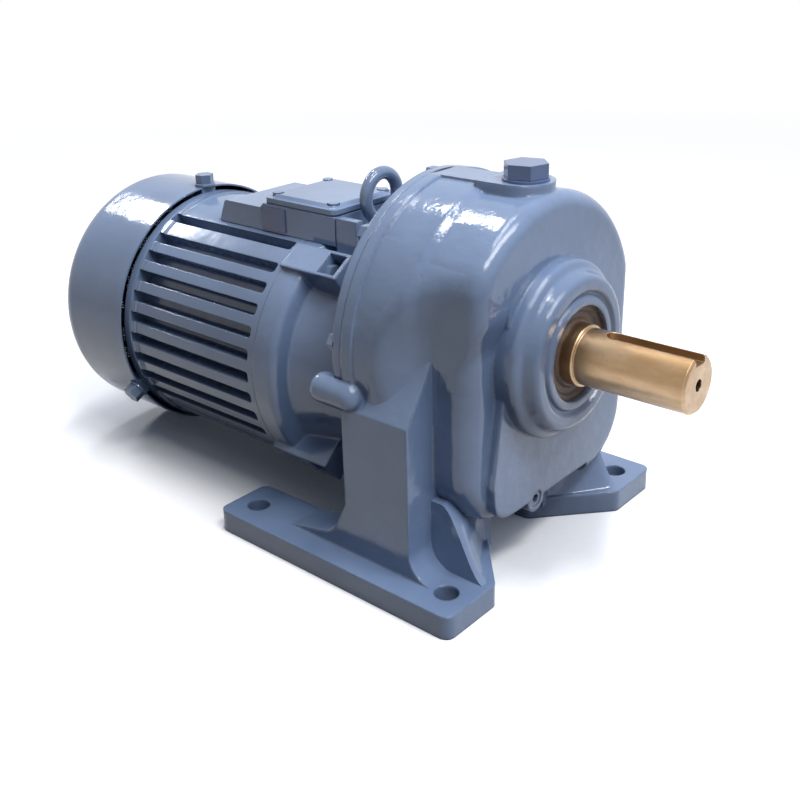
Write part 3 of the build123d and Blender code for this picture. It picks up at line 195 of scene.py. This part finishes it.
class Nodes:
    """The nodes of a material or of the surround, which start from a place."""

    def __init__(self, tree, place="Object"):
        self.tree = tree
        self.place = self.node("ShaderNodeTexCoord", output=place)

    def node(self, kind, settings=None, output=0, **values):
        """A node of any kind: its settings first, then the values or links of its sockets."""
        made = self.tree.nodes.new(kind)
        for name, value in (settings or {}).items():
            setattr(made, name, value)
        for name, value in values.items():
            feed(self.tree, made.inputs[name.replace("_", " ")], value)
        return Value(self.tree, made.outputs[output])

    def mix(self, factor, first, second):
        """A colour between two others."""
        made = self.tree.nodes.new("ShaderNodeMix")
        made.data_type = "RGBA"
        for index, value in ((mix_factor, factor), (mix_first, first), (mix_second, second)):
            feed(self.tree, made.inputs[index], value)
        return Value(self.tree, made.outputs[mix_result])

    def vector(self, operation, first, second, output=0):
        """A Vector Math node on two vectors."""
        made = self.tree.nodes.new("ShaderNodeVectorMath")
        made.operation = operation
        feed(self.tree, made.inputs[0], first)
        feed(self.tree, made.inputs[1], second)
        return Value(self.tree, made.outputs[output])

    def axes(self):
        """The X, Y and Z of the place, as values."""
        split = self.node("ShaderNodeSeparateXYZ", Vector=self.place)
        return [Value(self.tree, socket) for socket in split.socket.node.outputs]

    def shown_to_eye(self):
        """1 for rays that show the background: to the camera, or in gloss and glass."""
        path = self.node("ShaderNodeLightPath").socket.node
        camera, gloss, glass = (
            Value(self.tree, path.outputs[name])
            for name in ("Is Camera Ray", "Is Glossy Ray", "Is Transmission Ray"))
        return (camera + gloss + glass).smallest(1.0)


class Finish(Nodes):
    """A material in the making: one Principled surface and the nodes that vary it."""

    def __init__(self, name, **constants):
        self.material = bpy.data.materials.new(name)
        self.material.use_nodes = True
        super().__init__(self.material.node_tree)
        self.surface = self.tree.nodes["Principled BSDF"]
        self.set(**constants)

    def set(self, **values):
        """Set sockets of the surface, named with _ for a space."""
        for name, value in values.items():
            feed(self.tree, self.surface.inputs[name.replace("_", " ")], value)

    def noise(self, size, detail=3.0, roughness=0.5, place=None):
        """Cloudy noise with features of a size in metres, from 0 to 1."""
        return self.node("ShaderNodeTexNoise", output="Fac", Vector=place or self.place,
                         Scale=1 / size, Detail=detail, Roughness=roughness)

    def stretched(self, x, y, z):
        """The place with each axis scaled, for streaks."""
        return self.vector("MULTIPLY", self.place, (x, y, z))

    def rounded(self, radius):
        """The surface normal with its edges rounded."""
        return self.node("ShaderNodeBevel", {"samples": 4}, Radius=radius)

    def edges(self, rounded):
        """A mask of the outward and inward edges, from a rounded normal."""
        plain = self.node("ShaderNodeNewGeometry", output="Normal")
        return (1 - self.vector("DOT_PRODUCT", rounded, plain, "Value")).ramp(0.03, 0.3)

    def crevices(self, depth):
        """A mask of the corners where dust and shade gather."""
        open_share = self.node("ShaderNodeAmbientOcclusion", {"samples": 4}, output="AO", Distance=depth)
        return (1 - open_share).ramp(0.35, 0.95)

    def bump(self, height, strength, distance, normal=None):
        """A normal with the bumps of a height, over another normal if one is given."""
        values = {"Height": height, "Strength": strength, "Distance": distance}
        if normal is not None:
            values["Normal"] = normal
        return self.node("ShaderNodeBump", output="Normal", **values)


def shade(colour, factor, lift=0.0):
    """A colour times a factor, with a little light added, no channel past 1."""
    return tuple(min(1.0, factor * channel + lift) for channel in colour)


def enamel(name, colour, casting_depth, edge_radius, peel=1.0):
    """Gloss enamel: colour drift, edges lighter from thin paint and a painted highlight, dust and painted shade in
    corners, paint peel and casting waves.
    """
    look = settings()
    # Near-black colour for dust and painted shade in the corners
    dust_and_shade_colour = (0.035, 0.036, 0.04)
    primer_colour = (0.3, 0.31, 0.33)
    finish = Finish(name, Metallic=0.0, IOR=1.48)
    drift = finish.noise(0.09, 2.0)
    mottle = finish.noise(0.012, 4.0, 0.6)
    rounded = finish.rounded(edge_radius)
    edge = finish.edges(rounded)
    corner = finish.crevices(0.014)
    # Dust and painted shade: corners that the ambient occlusion mask finds are darkened nearly to black
    dust_and_painted_shade = (corner * finish.noise(0.006, 4.0, 0.65).ramp(0.3, 0.75)).ramp(0.1, 0.8)
    # Edges painted lighter: thin paint, and a painted highlight along every edge
    worn_and_highlit_edge = edge * finish.noise(0.004, 5.0, 0.7).ramp(0.5, 0.72)
    chips = (edge * finish.noise(0.0035, 3.0, 0.7).ramp(0.66, 0.7)).ramp(0.35, 0.6)
    paint = finish.mix(drift.ramp(0.3, 0.7), shade(colour, 0.86), shade(colour, 1.13, 0.01))
    paint = finish.mix(mottle.ramp(0.35, 0.75) * 0.25, paint, shade(colour, 0.9))
    paint = finish.mix(worn_and_highlit_edge * 0.55, paint, shade(colour, 1.5, 0.05))
    paint = finish.mix(dust_and_painted_shade * 0.55, paint, dust_and_shade_colour)
    paint = finish.mix(chips * 0.6, paint, primer_colour)
    rough = look.gloss_roughness + 0.05 * mottle + 0.3 * dust_and_painted_shade + 0.06 * drift + 0.12 * worn_and_highlit_edge
    waves = finish.noise(0.03, 2.0) * 0.6 + finish.noise(0.0075, 3.0, 0.55) * 0.4
    skin = finish.bump(waves, 1.0, casting_depth, rounded)
    fine = finish.bump(finish.noise(0.0011, 2.0), 0.5, 0.00004 * peel, skin)
    finish.set(Base_Color=paint, Roughness=rough, Normal=fine)
    return finish.material


def oiled_steel():
    """Turned shaft steel under amber rust-preventive oil: fine rings, smears and recesses darkened as painted
    shade.
    """
    look = settings()
    finish = Finish("oiled_shaft_steel", Metallic=1.0, Coat_Weight=0.25, Coat_Roughness=0.12)
    rings = finish.noise(0.00035, 2.0, 0.6, finish.stretched(1.0, 0.02, 0.02))
    fine_rings = finish.noise(0.0012, 3.0, 0.7, finish.stretched(1.0, 0.03, 0.03))
    smear = finish.noise(0.02, 4.0, 0.6, finish.stretched(0.35, 1.0, 1.0))
    spots = finish.noise(0.004, 4.0, 0.65).ramp(0.58, 0.75)
    rounded = finish.rounded(0.0006)
    edge = finish.edges(rounded)
    corner = finish.crevices(0.008)
    tint = finish.mix(smear.ramp(0.3, 0.7), look.steel_colour, look.oil_colour)
    tint = finish.mix(spots * 0.35, tint, shade(look.oil_colour, 0.6))
    tint = finish.mix(edge * 0.6, tint, (0.95, 0.9, 0.8))
    # Painted shade: recesses that the ambient occlusion mask finds are darkened to dark brown
    tint = finish.mix(corner * 0.75, tint, (0.12, 0.08, 0.05))
    rough = 0.2 + 0.16 * fine_rings + 0.14 * smear + 0.15 * spots
    turned = finish.bump(rings, 0.35, 0.00002, rounded)
    turned = finish.bump(fine_rings + 0.4 * smear, 0.4, 0.00003, turned)
    finish.set(Base_Color=tint, Roughness=rough, Normal=turned)
    return finish.material


def machined_steel(name, colour, roughness=0.3):
    """Plain machined steel with fine turning marks, a few stains and painted shade in its corners."""
    finish = Finish(name, Metallic=1.0)
    marks = finish.noise(0.0012, 3.0, 0.6, finish.stretched(1.0, 0.1, 0.1))
    stain = finish.noise(0.014, 4.0, 0.6)
    rounded = finish.rounded(0.0004)
    edge = finish.edges(rounded)
    corner = finish.crevices(0.006)
    tint = finish.mix(stain.ramp(0.35, 0.75), colour, shade(colour, 0.72))
    tint = finish.mix(edge * 0.5, tint, (0.85, 0.85, 0.86))
    # Painted shade: corners that the ambient occlusion mask finds are darkened nearly to black
    tint = finish.mix(corner * 0.7, tint, (0.05, 0.045, 0.04))
    rough = roughness + 0.2 * marks + 0.15 * stain
    turned = finish.bump(marks, 0.4, 0.00003, rounded)
    finish.set(Base_Color=tint, Roughness=rough, Normal=turned)
    return finish.material


def seal_rubber():
    """Dark brown moulded rubber, a little oily, with dust and painted shade darkening its rim."""
    finish = Finish("seal_rubber", Metallic=0.0, IOR=1.45)
    cloud = finish.noise(0.008, 4.0, 0.6)
    pores = finish.noise(0.0009, 3.0, 0.6)
    corner = finish.crevices(0.006)
    tint = finish.mix(cloud.ramp(0.3, 0.75), (0.05, 0.026, 0.016), (0.1, 0.055, 0.032))
    # Dust and painted shade: the rim that the ambient occlusion mask finds is darkened nearly to black
    tint = finish.mix(corner * 0.8, tint, (0.012, 0.008, 0.006))
    skin = finish.bump(pores + cloud, 0.4, 0.0001)
    finish.set(Base_Color=tint, Roughness=0.38 + 0.25 * cloud, Normal=skin)
    return finish.material


def moulded_plastic(name, colour):
    """Matt moulded plastic with a fine spark-eroded grain."""
    finish = Finish(name, Metallic=0.0, IOR=1.46)
    grain = finish.noise(0.0008, 2.0)
    dust = finish.noise(0.02, 4.0, 0.6)
    tint = finish.mix(dust.ramp(0.4, 0.8) * 0.6, colour, shade(colour, 1.6, 0.02))
    skin = finish.bump(grain, 0.35, 0.00005)
    finish.set(Base_Color=tint, Roughness=0.45 + 0.2 * dust, Normal=skin)
    return finish.material


def worked_metal(name, colour, roughness, metallic=1.0):
    """Brass, copper or cast aluminium with tarnish clouds."""
    finish = Finish(name, Metallic=metallic)
    cloud = finish.noise(0.007, 5.0, 0.6)
    grain = finish.noise(0.0009, 3.0, 0.6)
    rounded = finish.rounded(0.0003)
    edge = finish.edges(rounded)
    tint = finish.mix(cloud.ramp(0.35, 0.75), colour, shade(colour, 0.6))
    tint = finish.mix(edge * 0.5, tint, shade(colour, 1.25))
    skin = finish.bump(grain, 0.4, 0.00005, rounded)
    finish.set(Base_Color=tint, Roughness=roughness + 0.25 * cloud, Normal=skin)
    return finish.material


def laminated_steel():
    """Stacked electrical sheets: thin dark lines across the shaft direction."""
    sheet_pitch = 0.8 * mm
    finish = Finish("laminated_steel", Metallic=0.9)
    x = finish.axes()[0]
    sheet = (x * (2 * math.pi / sheet_pitch)).sine() * 0.5 + 0.5
    cloud = finish.noise(0.01, 4.0)
    tint = finish.mix(sheet, (0.07, 0.07, 0.075), (0.3, 0.3, 0.31))
    tint = finish.mix(cloud.ramp(0.4, 0.8), tint, (0.18, 0.12, 0.08))
    skin = finish.bump(sheet, 0.4, 0.0001)
    finish.set(Base_Color=tint, Roughness=0.4 + 0.3 * cloud, Normal=skin)
    return finish.material


def pale_floor():
    """A matt pale floor that runs to plain white far out and keeps the shadow near the motor."""
    fade_start, fade_end = 0.55, 1.7
    finish = Finish("pale_floor", Roughness=0.9, Specular_IOR_Level=0.0)
    shown = finish.shown_to_eye()
    speckle = finish.noise(0.004, 3.0)
    base = finish.mix(speckle.ramp(0.3, 0.7), (0.93, 0.93, 0.93), (0.95, 0.95, 0.95))
    finish.set(Base_Color=finish.mix(shown, floor_shade, base))
    x, y, _ = finish.axes()
    far = ((x * x + y * y) ** 0.5).ramp(fade_start, fade_end)
    tree = finish.tree
    near_surface = Value(tree, finish.surface.outputs[0])
    far_glow = finish.node("ShaderNodeEmission", Color=finish.mix(shown, floor_shade, white))
    fade = finish.node("ShaderNodeMixShader")
    for socket, value in zip(fade.socket.node.inputs, (far, near_surface, far_glow)):
        feed(tree, socket, value)
    feed(tree, tree.nodes["Material Output"].inputs["Surface"], fade)
    return finish.material


def studio_world():
    """A soft surround, lighter above and to the right, that shows as white."""
    world = bpy.data.worlds.new("studio")
    world.use_nodes = True
    nodes = Nodes(world.node_tree, "Generated")
    x, y, z = nodes.axes()
    lift = (0.7 * z + 0.5 * y + 0.5 * x).ramp(-0.08, 1.0)
    grade = nodes.mix(lift, surround_low, surround_high)
    colour = nodes.mix(nodes.shown_to_eye(), grade, white)
    feed(nodes.tree, nodes.tree.nodes["Background"].inputs["Color"], colour)
    return world


def settings():
    """The sizes and colours that the user has chosen."""
    return bpy.context.scene.gear_motor


def in_slots(*slots):
    """The CAD nodes whose record entry has one of these material slots."""
    return [part["node"] for part in frame["record"]["subparts"] if part["material_slot"] in slots]


def dress(material, *nodes):
    """Give CAD nodes a material."""
    if not nodes:
        raise ValueError(f"No node takes the finish {material.name}")
    for name in nodes:
        slots = frame["nodes"][name].data.materials
        slots.clear()
        slots.append(material)


def place_mesh(name, shape):
    """A new object in the scene from a bmesh, which is freed."""
    mesh = bpy.data.meshes.new(name)
    shape.to_mesh(mesh)
    shape.free()
    piece = bpy.data.objects.new(name, mesh)
    bpy.context.scene.collection.objects.link(piece)
    return piece


def smooth_step(value, low, high):
    """A soft change from 0 to 1 as a number goes from low to high."""
    share = min(1.0, max(0.0, (value - low) / (high - low)))
    return share * share * (3 - 2 * share)


def soft_ramp(value, width):
    """0 below zero and the number itself above, with a soft bend between."""
    if abs(value) >= width:
        return max(0.0, value)
    return (value + width) ** 2 / (4 * width)


def spread(low, high, steps):
    """Evenly spaced numbers from low to high."""
    return [low + (high - low) * index / steps for index in range(steps + 1)]


def half_width(radius, height):
    """Half the width of a circle round the output shaft at a height, in mm."""
    return math.sqrt(max(0.0, radius ** 2 - (height - shaft_height) ** 2))


def rounded_front(depth, face, radius):
    """The X of a front face with a rounded side edge, at a depth from the side, in mm."""
    return face - radius + math.sqrt(max(0.0, radius ** 2 - max(0.0, radius - depth) ** 2))


def cast_blend(name, rows, columns, skin, root):
    """A closed solid between a smooth skin and its root inside the casting. Both give a point in mm."""
    shape = bmesh.new()
    outer = [[shape.verts.new(Vector(skin(a, b)) * mm) for b in columns] for a in rows]
    inner = [[shape.verts.new(Vector(root(a, b)) * mm) for b in columns] for a in rows]
    last_row = len(rows) - 1
    last_column = len(columns) - 1
    for row in range(last_row):
        for column in range(last_column):
            corners = ((row, column), (row + 1, column), (row + 1, column + 1), (row, column + 1))
            first, *others = corners
            shape.faces.new([outer[i][j] for i, j in corners]).smooth = True
            shape.faces.new([inner[i][j] for i, j in (first, *reversed(others))])
    rim = [(row, 0) for row in range(last_row)]
    rim += [(last_row, column) for column in range(last_column)]
    rim += [(row, last_column) for row in range(last_row, 0, -1)]
    rim += [(0, column) for column in range(last_column, 0, -1)]
    for (i, j), (next_i, next_j) in zip(rim, rim[1:] + rim[:1]):
        shape.faces.new((outer[i][j], inner[i][j], inner[next_i][next_j], outer[next_i][next_j]))
        shape.edges.get((outer[i][j], outer[next_i][next_j])).smooth = False
    bmesh.ops.recalc_face_normals(shape, faces=shape.faces)
    blend = place_mesh(name, shape)
    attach(blend, "housing")
    return blend


def side_blend(name, side, wall):
    """Fairs the round barrel into the flat side of the case, above the pedestal. side is -1 or 1."""
    bottom, margin, root_depth = 100.0, 4.0, 4.0
    fairing, lead, run_out, bend, overlap = 27.0, 7.0, 4.0, 14.0, 1.0
    proud, sunk, border_share = 0.1, 0.35, 0.11
    length_steps, height_steps = 36, 60
    shoulder_y = wall - shoulder_radius
    rise = math.sqrt((nose_radius - shoulder_radius) ** 2 - shoulder_y ** 2)
    shoulder_bottom = shaft_height + rise
    shoulder_top = shaft_height + rise * nose_radius / (nose_radius - shoulder_radius)
    top = shaft_height + math.sqrt(barrel_radius ** 2 - wall ** 2)

    def body_side(z):
        if z < shoulder_bottom:
            return wall
        if z < shoulder_top:
            return shoulder_y + math.sqrt(max(0.0, shoulder_radius ** 2 - (z - shoulder_bottom) ** 2))
        return half_width(nose_radius, z)

    def skin(share, z):
        flat_x = flat_back_x + flat_slant * soft_ramp(z - flat_slant_bottom, bend)
        x = flat_x - lead + (lead + fairing + run_out) * share
        fallen = barrel_fall * max(0.0, x - barrel_fall_x)
        barrel = half_width(max(nose_radius, barrel_radius - fallen), z)
        step = min(body_side(z), barrel) - barrel
        faired = barrel + step * smooth_step(x, flat_x - overlap, flat_x + fairing)
        border = 1 - smooth_step(min(share, 1 - share), 0.0, border_share)
        border += smooth_step(z, top, top + margin - overlap)
        return x, side * (faired + proud - (proud + sunk) * min(1.0, border)), z

    def root(share, z):
        x, y, z = skin(share, z)
        return x, side * (min(body_side(z), side * y) - root_depth), z

    heights = spread(bottom, top + margin, height_steps)
    return cast_blend(name, spread(0.0, 1.0, length_steps), heights, skin, root)


def plate_blend(name):
    """Fades the step beside the front plate out at its upper end, above the left pedestal."""
    low, high, width, side_reach = 118.0, 171.0, 27.0, 8.0
    fade, border, overlap, proud, sunk = 26.0, 4.0, 1.0, 0.06, 0.34
    root_back, root_in, corner_crowding = 4.0, 2.0, 1.8
    face_steps, side_steps, height_steps = 8, 34, 48
    behind_x = case_front - recess_depth

    def skin(share, z):
        depth = width * max(0.0, share) ** corner_crowding
        behind = rounded_front(depth, behind_x, recess_rounding)
        ahead = rounded_front(depth, case_front, nose_rounding)
        ledge = shaft_height + (ahead - recess_back_x) * recess_slant
        inside = 2 - smooth_step(share, -1.0, -0.5) - smooth_step(width - depth, 0.0, border)
        inside += 2 - smooth_step(z, low, low + border + overlap) - smooth_step(high - z, 0.0, border)
        lift = proud - (proud + sunk) * min(1.0, inside)
        x = behind + (ahead - behind) * smooth_step(z, ledge - fade, ledge + overlap)
        if share < 0:
            return x + side_reach * share, -left_side_y - lift, z
        return x + lift, depth - left_side_y - lift, z

    def root(share, z):
        x, y, z = skin(share, z)
        return min(x, behind_x - recess_rounding) - root_back, max(y, -left_side_y) + root_in, z

    shares = spread(-1.0, 0.0, face_steps)[:-1] + spread(0.0, 1.0, side_steps)
    return cast_blend(name, shares, spread(low, high, height_steps), skin, root)


def foot_web(name, side):
    """The rounded web that runs from under the case down to the toe of a foot. side is -1 or 1."""
    back, crest, outer_y, inner_y = 49.0, 58.0, 72.2, 27.0
    toe_outer, toe_inner, height, fall, sunk = 88.0, 54.0, 41.0, 18.0, 0.3
    level_share, low_share, least_slope, root_depth = 0.1, 0.75, 2.0, 5.0
    length_steps, width_steps = 30, 24

    def skin(x_share, y):
        share = (outer_y - y) / (outer_y - inner_y)
        toe_share = max(0.0, share * (1 + level_share) - level_share)
        toe = toe_outer + (toe_inner - toe_outer) * toe_share
        end = max(crest + least_slope, toe)
        x = back + (end - back) * x_share
        crest_height = height - fall * smooth_step(share, level_share, low_share) + sunk
        return x, side * y, foot_top - sunk + crest_height * (1 - smooth_step(x, crest, end))

    def root(x_share, y):
        x, y, _ = skin(x_share, y)
        return x, y, foot_top - root_depth

    lines_across = spread(outer_y, inner_y, width_steps)
    return cast_blend(name, spread(0.0, 1.0, length_steps), lines_across, skin, root)


def wire_screen(name, x, radius, pitch, thickness, centre):
    """A round screen across the motor axis: crossing flat wires, cut to a circle."""
    shape = bmesh.new()
    count = int(radius / pitch)
    for index in range(-count, count + 1):
        offset = index * pitch
        length = 2 * math.sqrt(radius ** 2 - offset ** 2)
        level_wire = ((x + thickness, centre.y, centre.z + offset), (thickness, length, thickness))
        upright_wire = ((x, centre.y + offset, centre.z), (thickness, thickness, length))
        for place, size in (level_wire, upright_wire):
            matrix = Matrix.Translation(place) @ Matrix.Diagonal((*size, 1.0))
            bmesh.ops.create_cube(shape, size=1.0, matrix=matrix)
    return place_mesh(name, shape)


def softbox(name, place, aim, size, power, colour):
    """A rectangular area lamp at a place, turned to a point."""
    lamp = bpy.data.lights.new(name, "AREA")
    lamp.shape = "RECTANGLE"
    lamp.size, lamp.size_y = size
    lamp.energy = power
    lamp.color = colour
    lamp_object = bpy.data.objects.new(name, lamp)
    bpy.context.scene.collection.objects.link(lamp_object)
    lamp_object.location = place
    lamp_object.rotation_mode = "QUATERNION"
    lamp_object.rotation_quaternion = (Vector(aim) - Vector(place)).to_track_quat("-Z", "Y")


def photo_camera():
    """The camera at the photograph's place, with its framing."""
    data = bpy.data.cameras.new("camera")
    camera = bpy.data.objects.new("camera", data)
    bpy.context.scene.collection.objects.link(camera)
    azimuth = math.radians(view_azimuth)
    elevation = math.radians(view_elevation)
    level = math.cos(elevation)
    back = Vector((math.sin(azimuth) * level, -math.cos(azimuth) * level, math.sin(elevation)))
    data.sensor_width = sensor_width
    data.lens = focal_pixels / image_size * sensor_width
    data.shift_x = (image_size / 2 - centre_pixel[0]) / image_size
    data.shift_y = (centre_pixel[1] - image_size / 2) / image_size
    data.clip_start = clip_start
    camera.location = view_target + back * view_distance
    camera.rotation_mode = "QUATERNION"
    roll = Quaternion(back, math.radians(view_roll))
    camera.rotation_quaternion = roll @ (-back).to_track_quat("-Z", "Y")
    return camera


class GearMotorSettings(PropertyGroup):
    """Sizes and colours that a user may change."""
    paint: FloatVectorProperty(
        name="Paint", description="Colour of the enamel",
        subtype="COLOR", size=3, default=(0.134, 0.191, 0.306), min=0.0, max=1.0)
    gloss_roughness: FloatProperty(
        name="Enamel roughness", description="Blur of reflections in the enamel",
        subtype="FACTOR", default=0.07, min=0.0, max=1.0)
    steel_colour: FloatVectorProperty(
        name="Shaft steel", description="Colour of the ground shaft",
        subtype="COLOR", size=3, default=(0.5, 0.355, 0.225), min=0.0, max=1.0)
    oil_colour: FloatVectorProperty(
        name="Oil", description="Colour of the dried oil on the shaft",
        subtype="COLOR", size=3, default=(0.34, 0.21, 0.1), min=0.0, max=1.0)
    casting_depth: FloatProperty(
        name="Casting waviness", description="Height of the waves left by the mould",
        subtype="DISTANCE", unit="LENGTH", default=0.7 * mm, min=0.0, max=3 * mm)
    screen_pitch: FloatProperty(
        name="Screen pitch", description="Distance between wires of the grille screen",
        subtype="DISTANCE", unit="LENGTH", default=2.0 * mm, min=0.5 * mm, max=10 * mm)
    screen_wire: FloatProperty(
        name="Screen wire", description="Thickness of the wires of the grille screen",
        subtype="DISTANCE", unit="LENGTH", default=1.1 * mm, min=0.1 * mm, max=5 * mm)
    floor_size: FloatProperty(
        name="Floor size", description="Radius of the pale floor",
        subtype="DISTANCE", unit="LENGTH", default=12.0, min=1.0, max=50.0)
    lamp_power: FloatProperty(
        name="Lamp power", description="Power that the softboxes share out",
        subtype="POWER", unit="POWER", default=9.5, min=0.0, max=100.0)


class GEARMOTOR_OT_castings(Operator):
    """Paints the gear case, the adapter, the motor frame and the rear shield."""
    bl_idname = "gear_motor.castings"
    bl_label = "Castings"

    def execute(self, context):
        look = settings()
        frame_paint = shade(look.paint, 0.95)
        dress(enamel("case_enamel", look.paint, look.casting_depth, 0.0024), *in_slots("case_paint"))
        dress(enamel("frame_enamel", frame_paint, 0.4 * look.casting_depth, 0.001), *in_slots("frame_paint"))
        return {"FINISHED"}


class GEARMOTOR_OT_casting_blends(Operator):
    """Adds the soft blends of the case casting: sides, front plate and foot webs."""
    bl_idname = "gear_motor.casting_blends"
    bl_label = "Blends of the case casting"

    def execute(self, context):
        look = settings()
        blend_enamel = enamel("blend_enamel", look.paint, look.casting_depth, 0.0)
        blends = (
            side_blend("case_left_blend", -1, left_side_y),
            side_blend("case_right_blend", 1, right_side_y),
            plate_blend("case_plate_blend"),
            foot_web("left_foot_web", -1),
            foot_web("right_foot_web", 1))
        for blend in blends:
            blend.data.materials.append(blend_enamel)
        return {"FINISHED"}


class GEARMOTOR_OT_covers(Operator):
    """Paints the pressed fan cover and the terminal box, with its bare plate."""
    bl_idname = "gear_motor.covers"
    bl_label = "Fan cover and terminal box"

    def execute(self, context):
        look = settings()
        cover_paint = shade(look.paint, 0.97)
        box_paint = shade(look.paint, 1.03)
        plate_paint = (0.06, 0.085, 0.2)
        depth = look.casting_depth
        dress(enamel("cover_enamel", cover_paint, 0.5 * depth, 0.0006, 0.6), *in_slots("cover_paint"))
        dress(enamel("box_enamel", box_paint, 0.25 * depth, 0.0007), *in_slots("box_paint"))
        dress(enamel("plate_enamel", plate_paint, 0.00005, 0.0003), "side_plate")
        return {"FINISHED"}


class GEARMOTOR_OT_cover_screen(Operator):
    """Adds the dark wire screen inside the air grille of the fan cover."""
    bl_idname = "gear_motor.cover_screen"
    bl_label = "Screen behind the air grille"

    def execute(self, context):
        look = settings()
        low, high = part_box("fan_cover")
        radius = (high[2] - low[2]) / 2 - screen_margin
        screen = wire_screen(
            "fan_cover_screen", low[0] + screen_gap, radius, look.screen_pitch, look.screen_wire, motor_axis)
        screen.data.materials.append(machined_steel("screen_wire", (0.04, 0.045, 0.06), 0.5))
        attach(screen, "housing")
        return {"FINISHED"}


class GEARMOTOR_OT_output_shaft(Operator):
    """Gives the output shaft its oiled steel and the oil seals their rubber."""
    bl_idname = "gear_motor.output_shaft"
    bl_label = "Output shaft and seals"

    def execute(self, context):
        dress(oiled_steel(), "output_shaft")
        dress(seal_rubber(), *in_slots("seal_rubber"))
        return {"FINISHED"}


class GEARMOTOR_OT_fasteners(Operator):
    """Finishes bolts, plugs, the eyebolt and the brass gland."""
    bl_idname = "gear_motor.fasteners"
    bl_label = "Fasteners"

    def execute(self, context):
        bolt_paint = shade(settings().paint, 0.9)
        plug_paint = (0.07, 0.11, 0.22)
        dress(enamel("fastener_enamel", bolt_paint, 0.0002, 0.0005), *in_slots("zinc_steel"))
        dress(enamel("plug_enamel", plug_paint, 0.0001, 0.0006), "filler_plug", *in_slots("copper_washer"))
        dress(worked_metal("brass", (0.66, 0.48, 0.2), 0.25), *in_slots("brass"))
        return {"FINISHED"}


class GEARMOTOR_OT_inner_parts(Operator):
    """Finishes the gears, bearings, windings, fan and gaskets inside."""
    bl_idname = "gear_motor.inner_parts"
    bl_label = "Inner parts"

    def execute(self, context):
        dress(machined_steel("machined_steel", (0.5, 0.5, 0.52)), *in_slots("inner_steel"))
        dress(laminated_steel(), *in_slots("core_steel"))
        dress(worked_metal("cast_aluminium", (0.66, 0.67, 0.68), 0.4), *in_slots("rotor_aluminium"))
        dress(worked_metal("winding_copper", (0.5, 0.2, 0.09), 0.35, 0.8), *in_slots("winding_copper"))
        dress(moulded_plastic("fan_plastic", (0.02, 0.021, 0.023)), *in_slots("fan_plastic"))
        dress(moulded_plastic("terminal_plastic", (0.035, 0.022, 0.016)), *in_slots("terminal_plastic"))
        dress(moulded_plastic("gasket_fibre", (0.012, 0.018, 0.035)), *in_slots("gasket_fibre"))
        return {"FINISHED"}


class GEARMOTOR_OT_stage(Operator):
    """Sets the pale floor, the soft lamps, the surround and the camera."""
    bl_idname = "gear_motor.stage"
    bl_label = "Stage, lamps and camera"

    def execute(self, context):
        look = settings()
        scene = context.scene
        shape = bmesh.new()
        bmesh.ops.create_circle(shape, cap_ends=True, segments=96, radius=look.floor_size)
        floor = place_mesh("floor", shape)
        floor.location.z = -floor_drop
        floor.data.materials.append(pale_floor())
        scene.world = studio_world()
        aim = ((cad_box[0][0] + cad_box[1][0]) / 2, 0.0, lamp_aim_height)
        for name, place, size, share, colour in softboxes:
            softbox(name, place, aim, size, share * look.lamp_power, colour)
        scene.camera = photo_camera()
        scene.view_settings.view_transform = "Standard"
        return {"FINISHED"}


operators = (
    GEARMOTOR_OT_castings,
    GEARMOTOR_OT_casting_blends,
    GEARMOTOR_OT_covers,
    GEARMOTOR_OT_cover_screen,
    GEARMOTOR_OT_output_shaft,
    GEARMOTOR_OT_fasteners,
    GEARMOTOR_OT_inner_parts,
    GEARMOTOR_OT_stage,
)


class GEARMOTOR_PT_panel(Panel):
    """Lists the settings and the pieces of the gear motor."""
    bl_idname = "GEARMOTOR_PT_panel"
    bl_label = "Gear motor"
    bl_space_type = "VIEW_3D"
    bl_region_type = "UI"
    bl_category = "Gear motor"

    def draw(self, context):
        for name in GearMotorSettings.__annotations__:
            self.layout.prop(context.scene.gear_motor, name)
        for operator in operators:
            self.layout.operator(operator.bl_idname)


classes = (GearMotorSettings, *operators, GEARMOTOR_PT_panel)


def register():
    """Add the settings, the operators and the panel to Blender."""
    for item in classes:
        bpy.utils.register_class(item)
    bpy.types.Scene.gear_motor = PointerProperty(type=GearMotorSettings)


def unregister():
    """Take the panel, the operators and the settings out of Blender."""
    del bpy.types.Scene.gear_motor
    for item in reversed(classes):
        bpy.utils.unregister_class(item)


def main():
    """Make every piece in order."""
    register()
    for operator in operators:
        group, name = operator.bl_idname.split(".")
        getattr(getattr(bpy.ops, group), name)()
    bpy.context.view_layer.update()


if __name__ == "__main__":
    main()
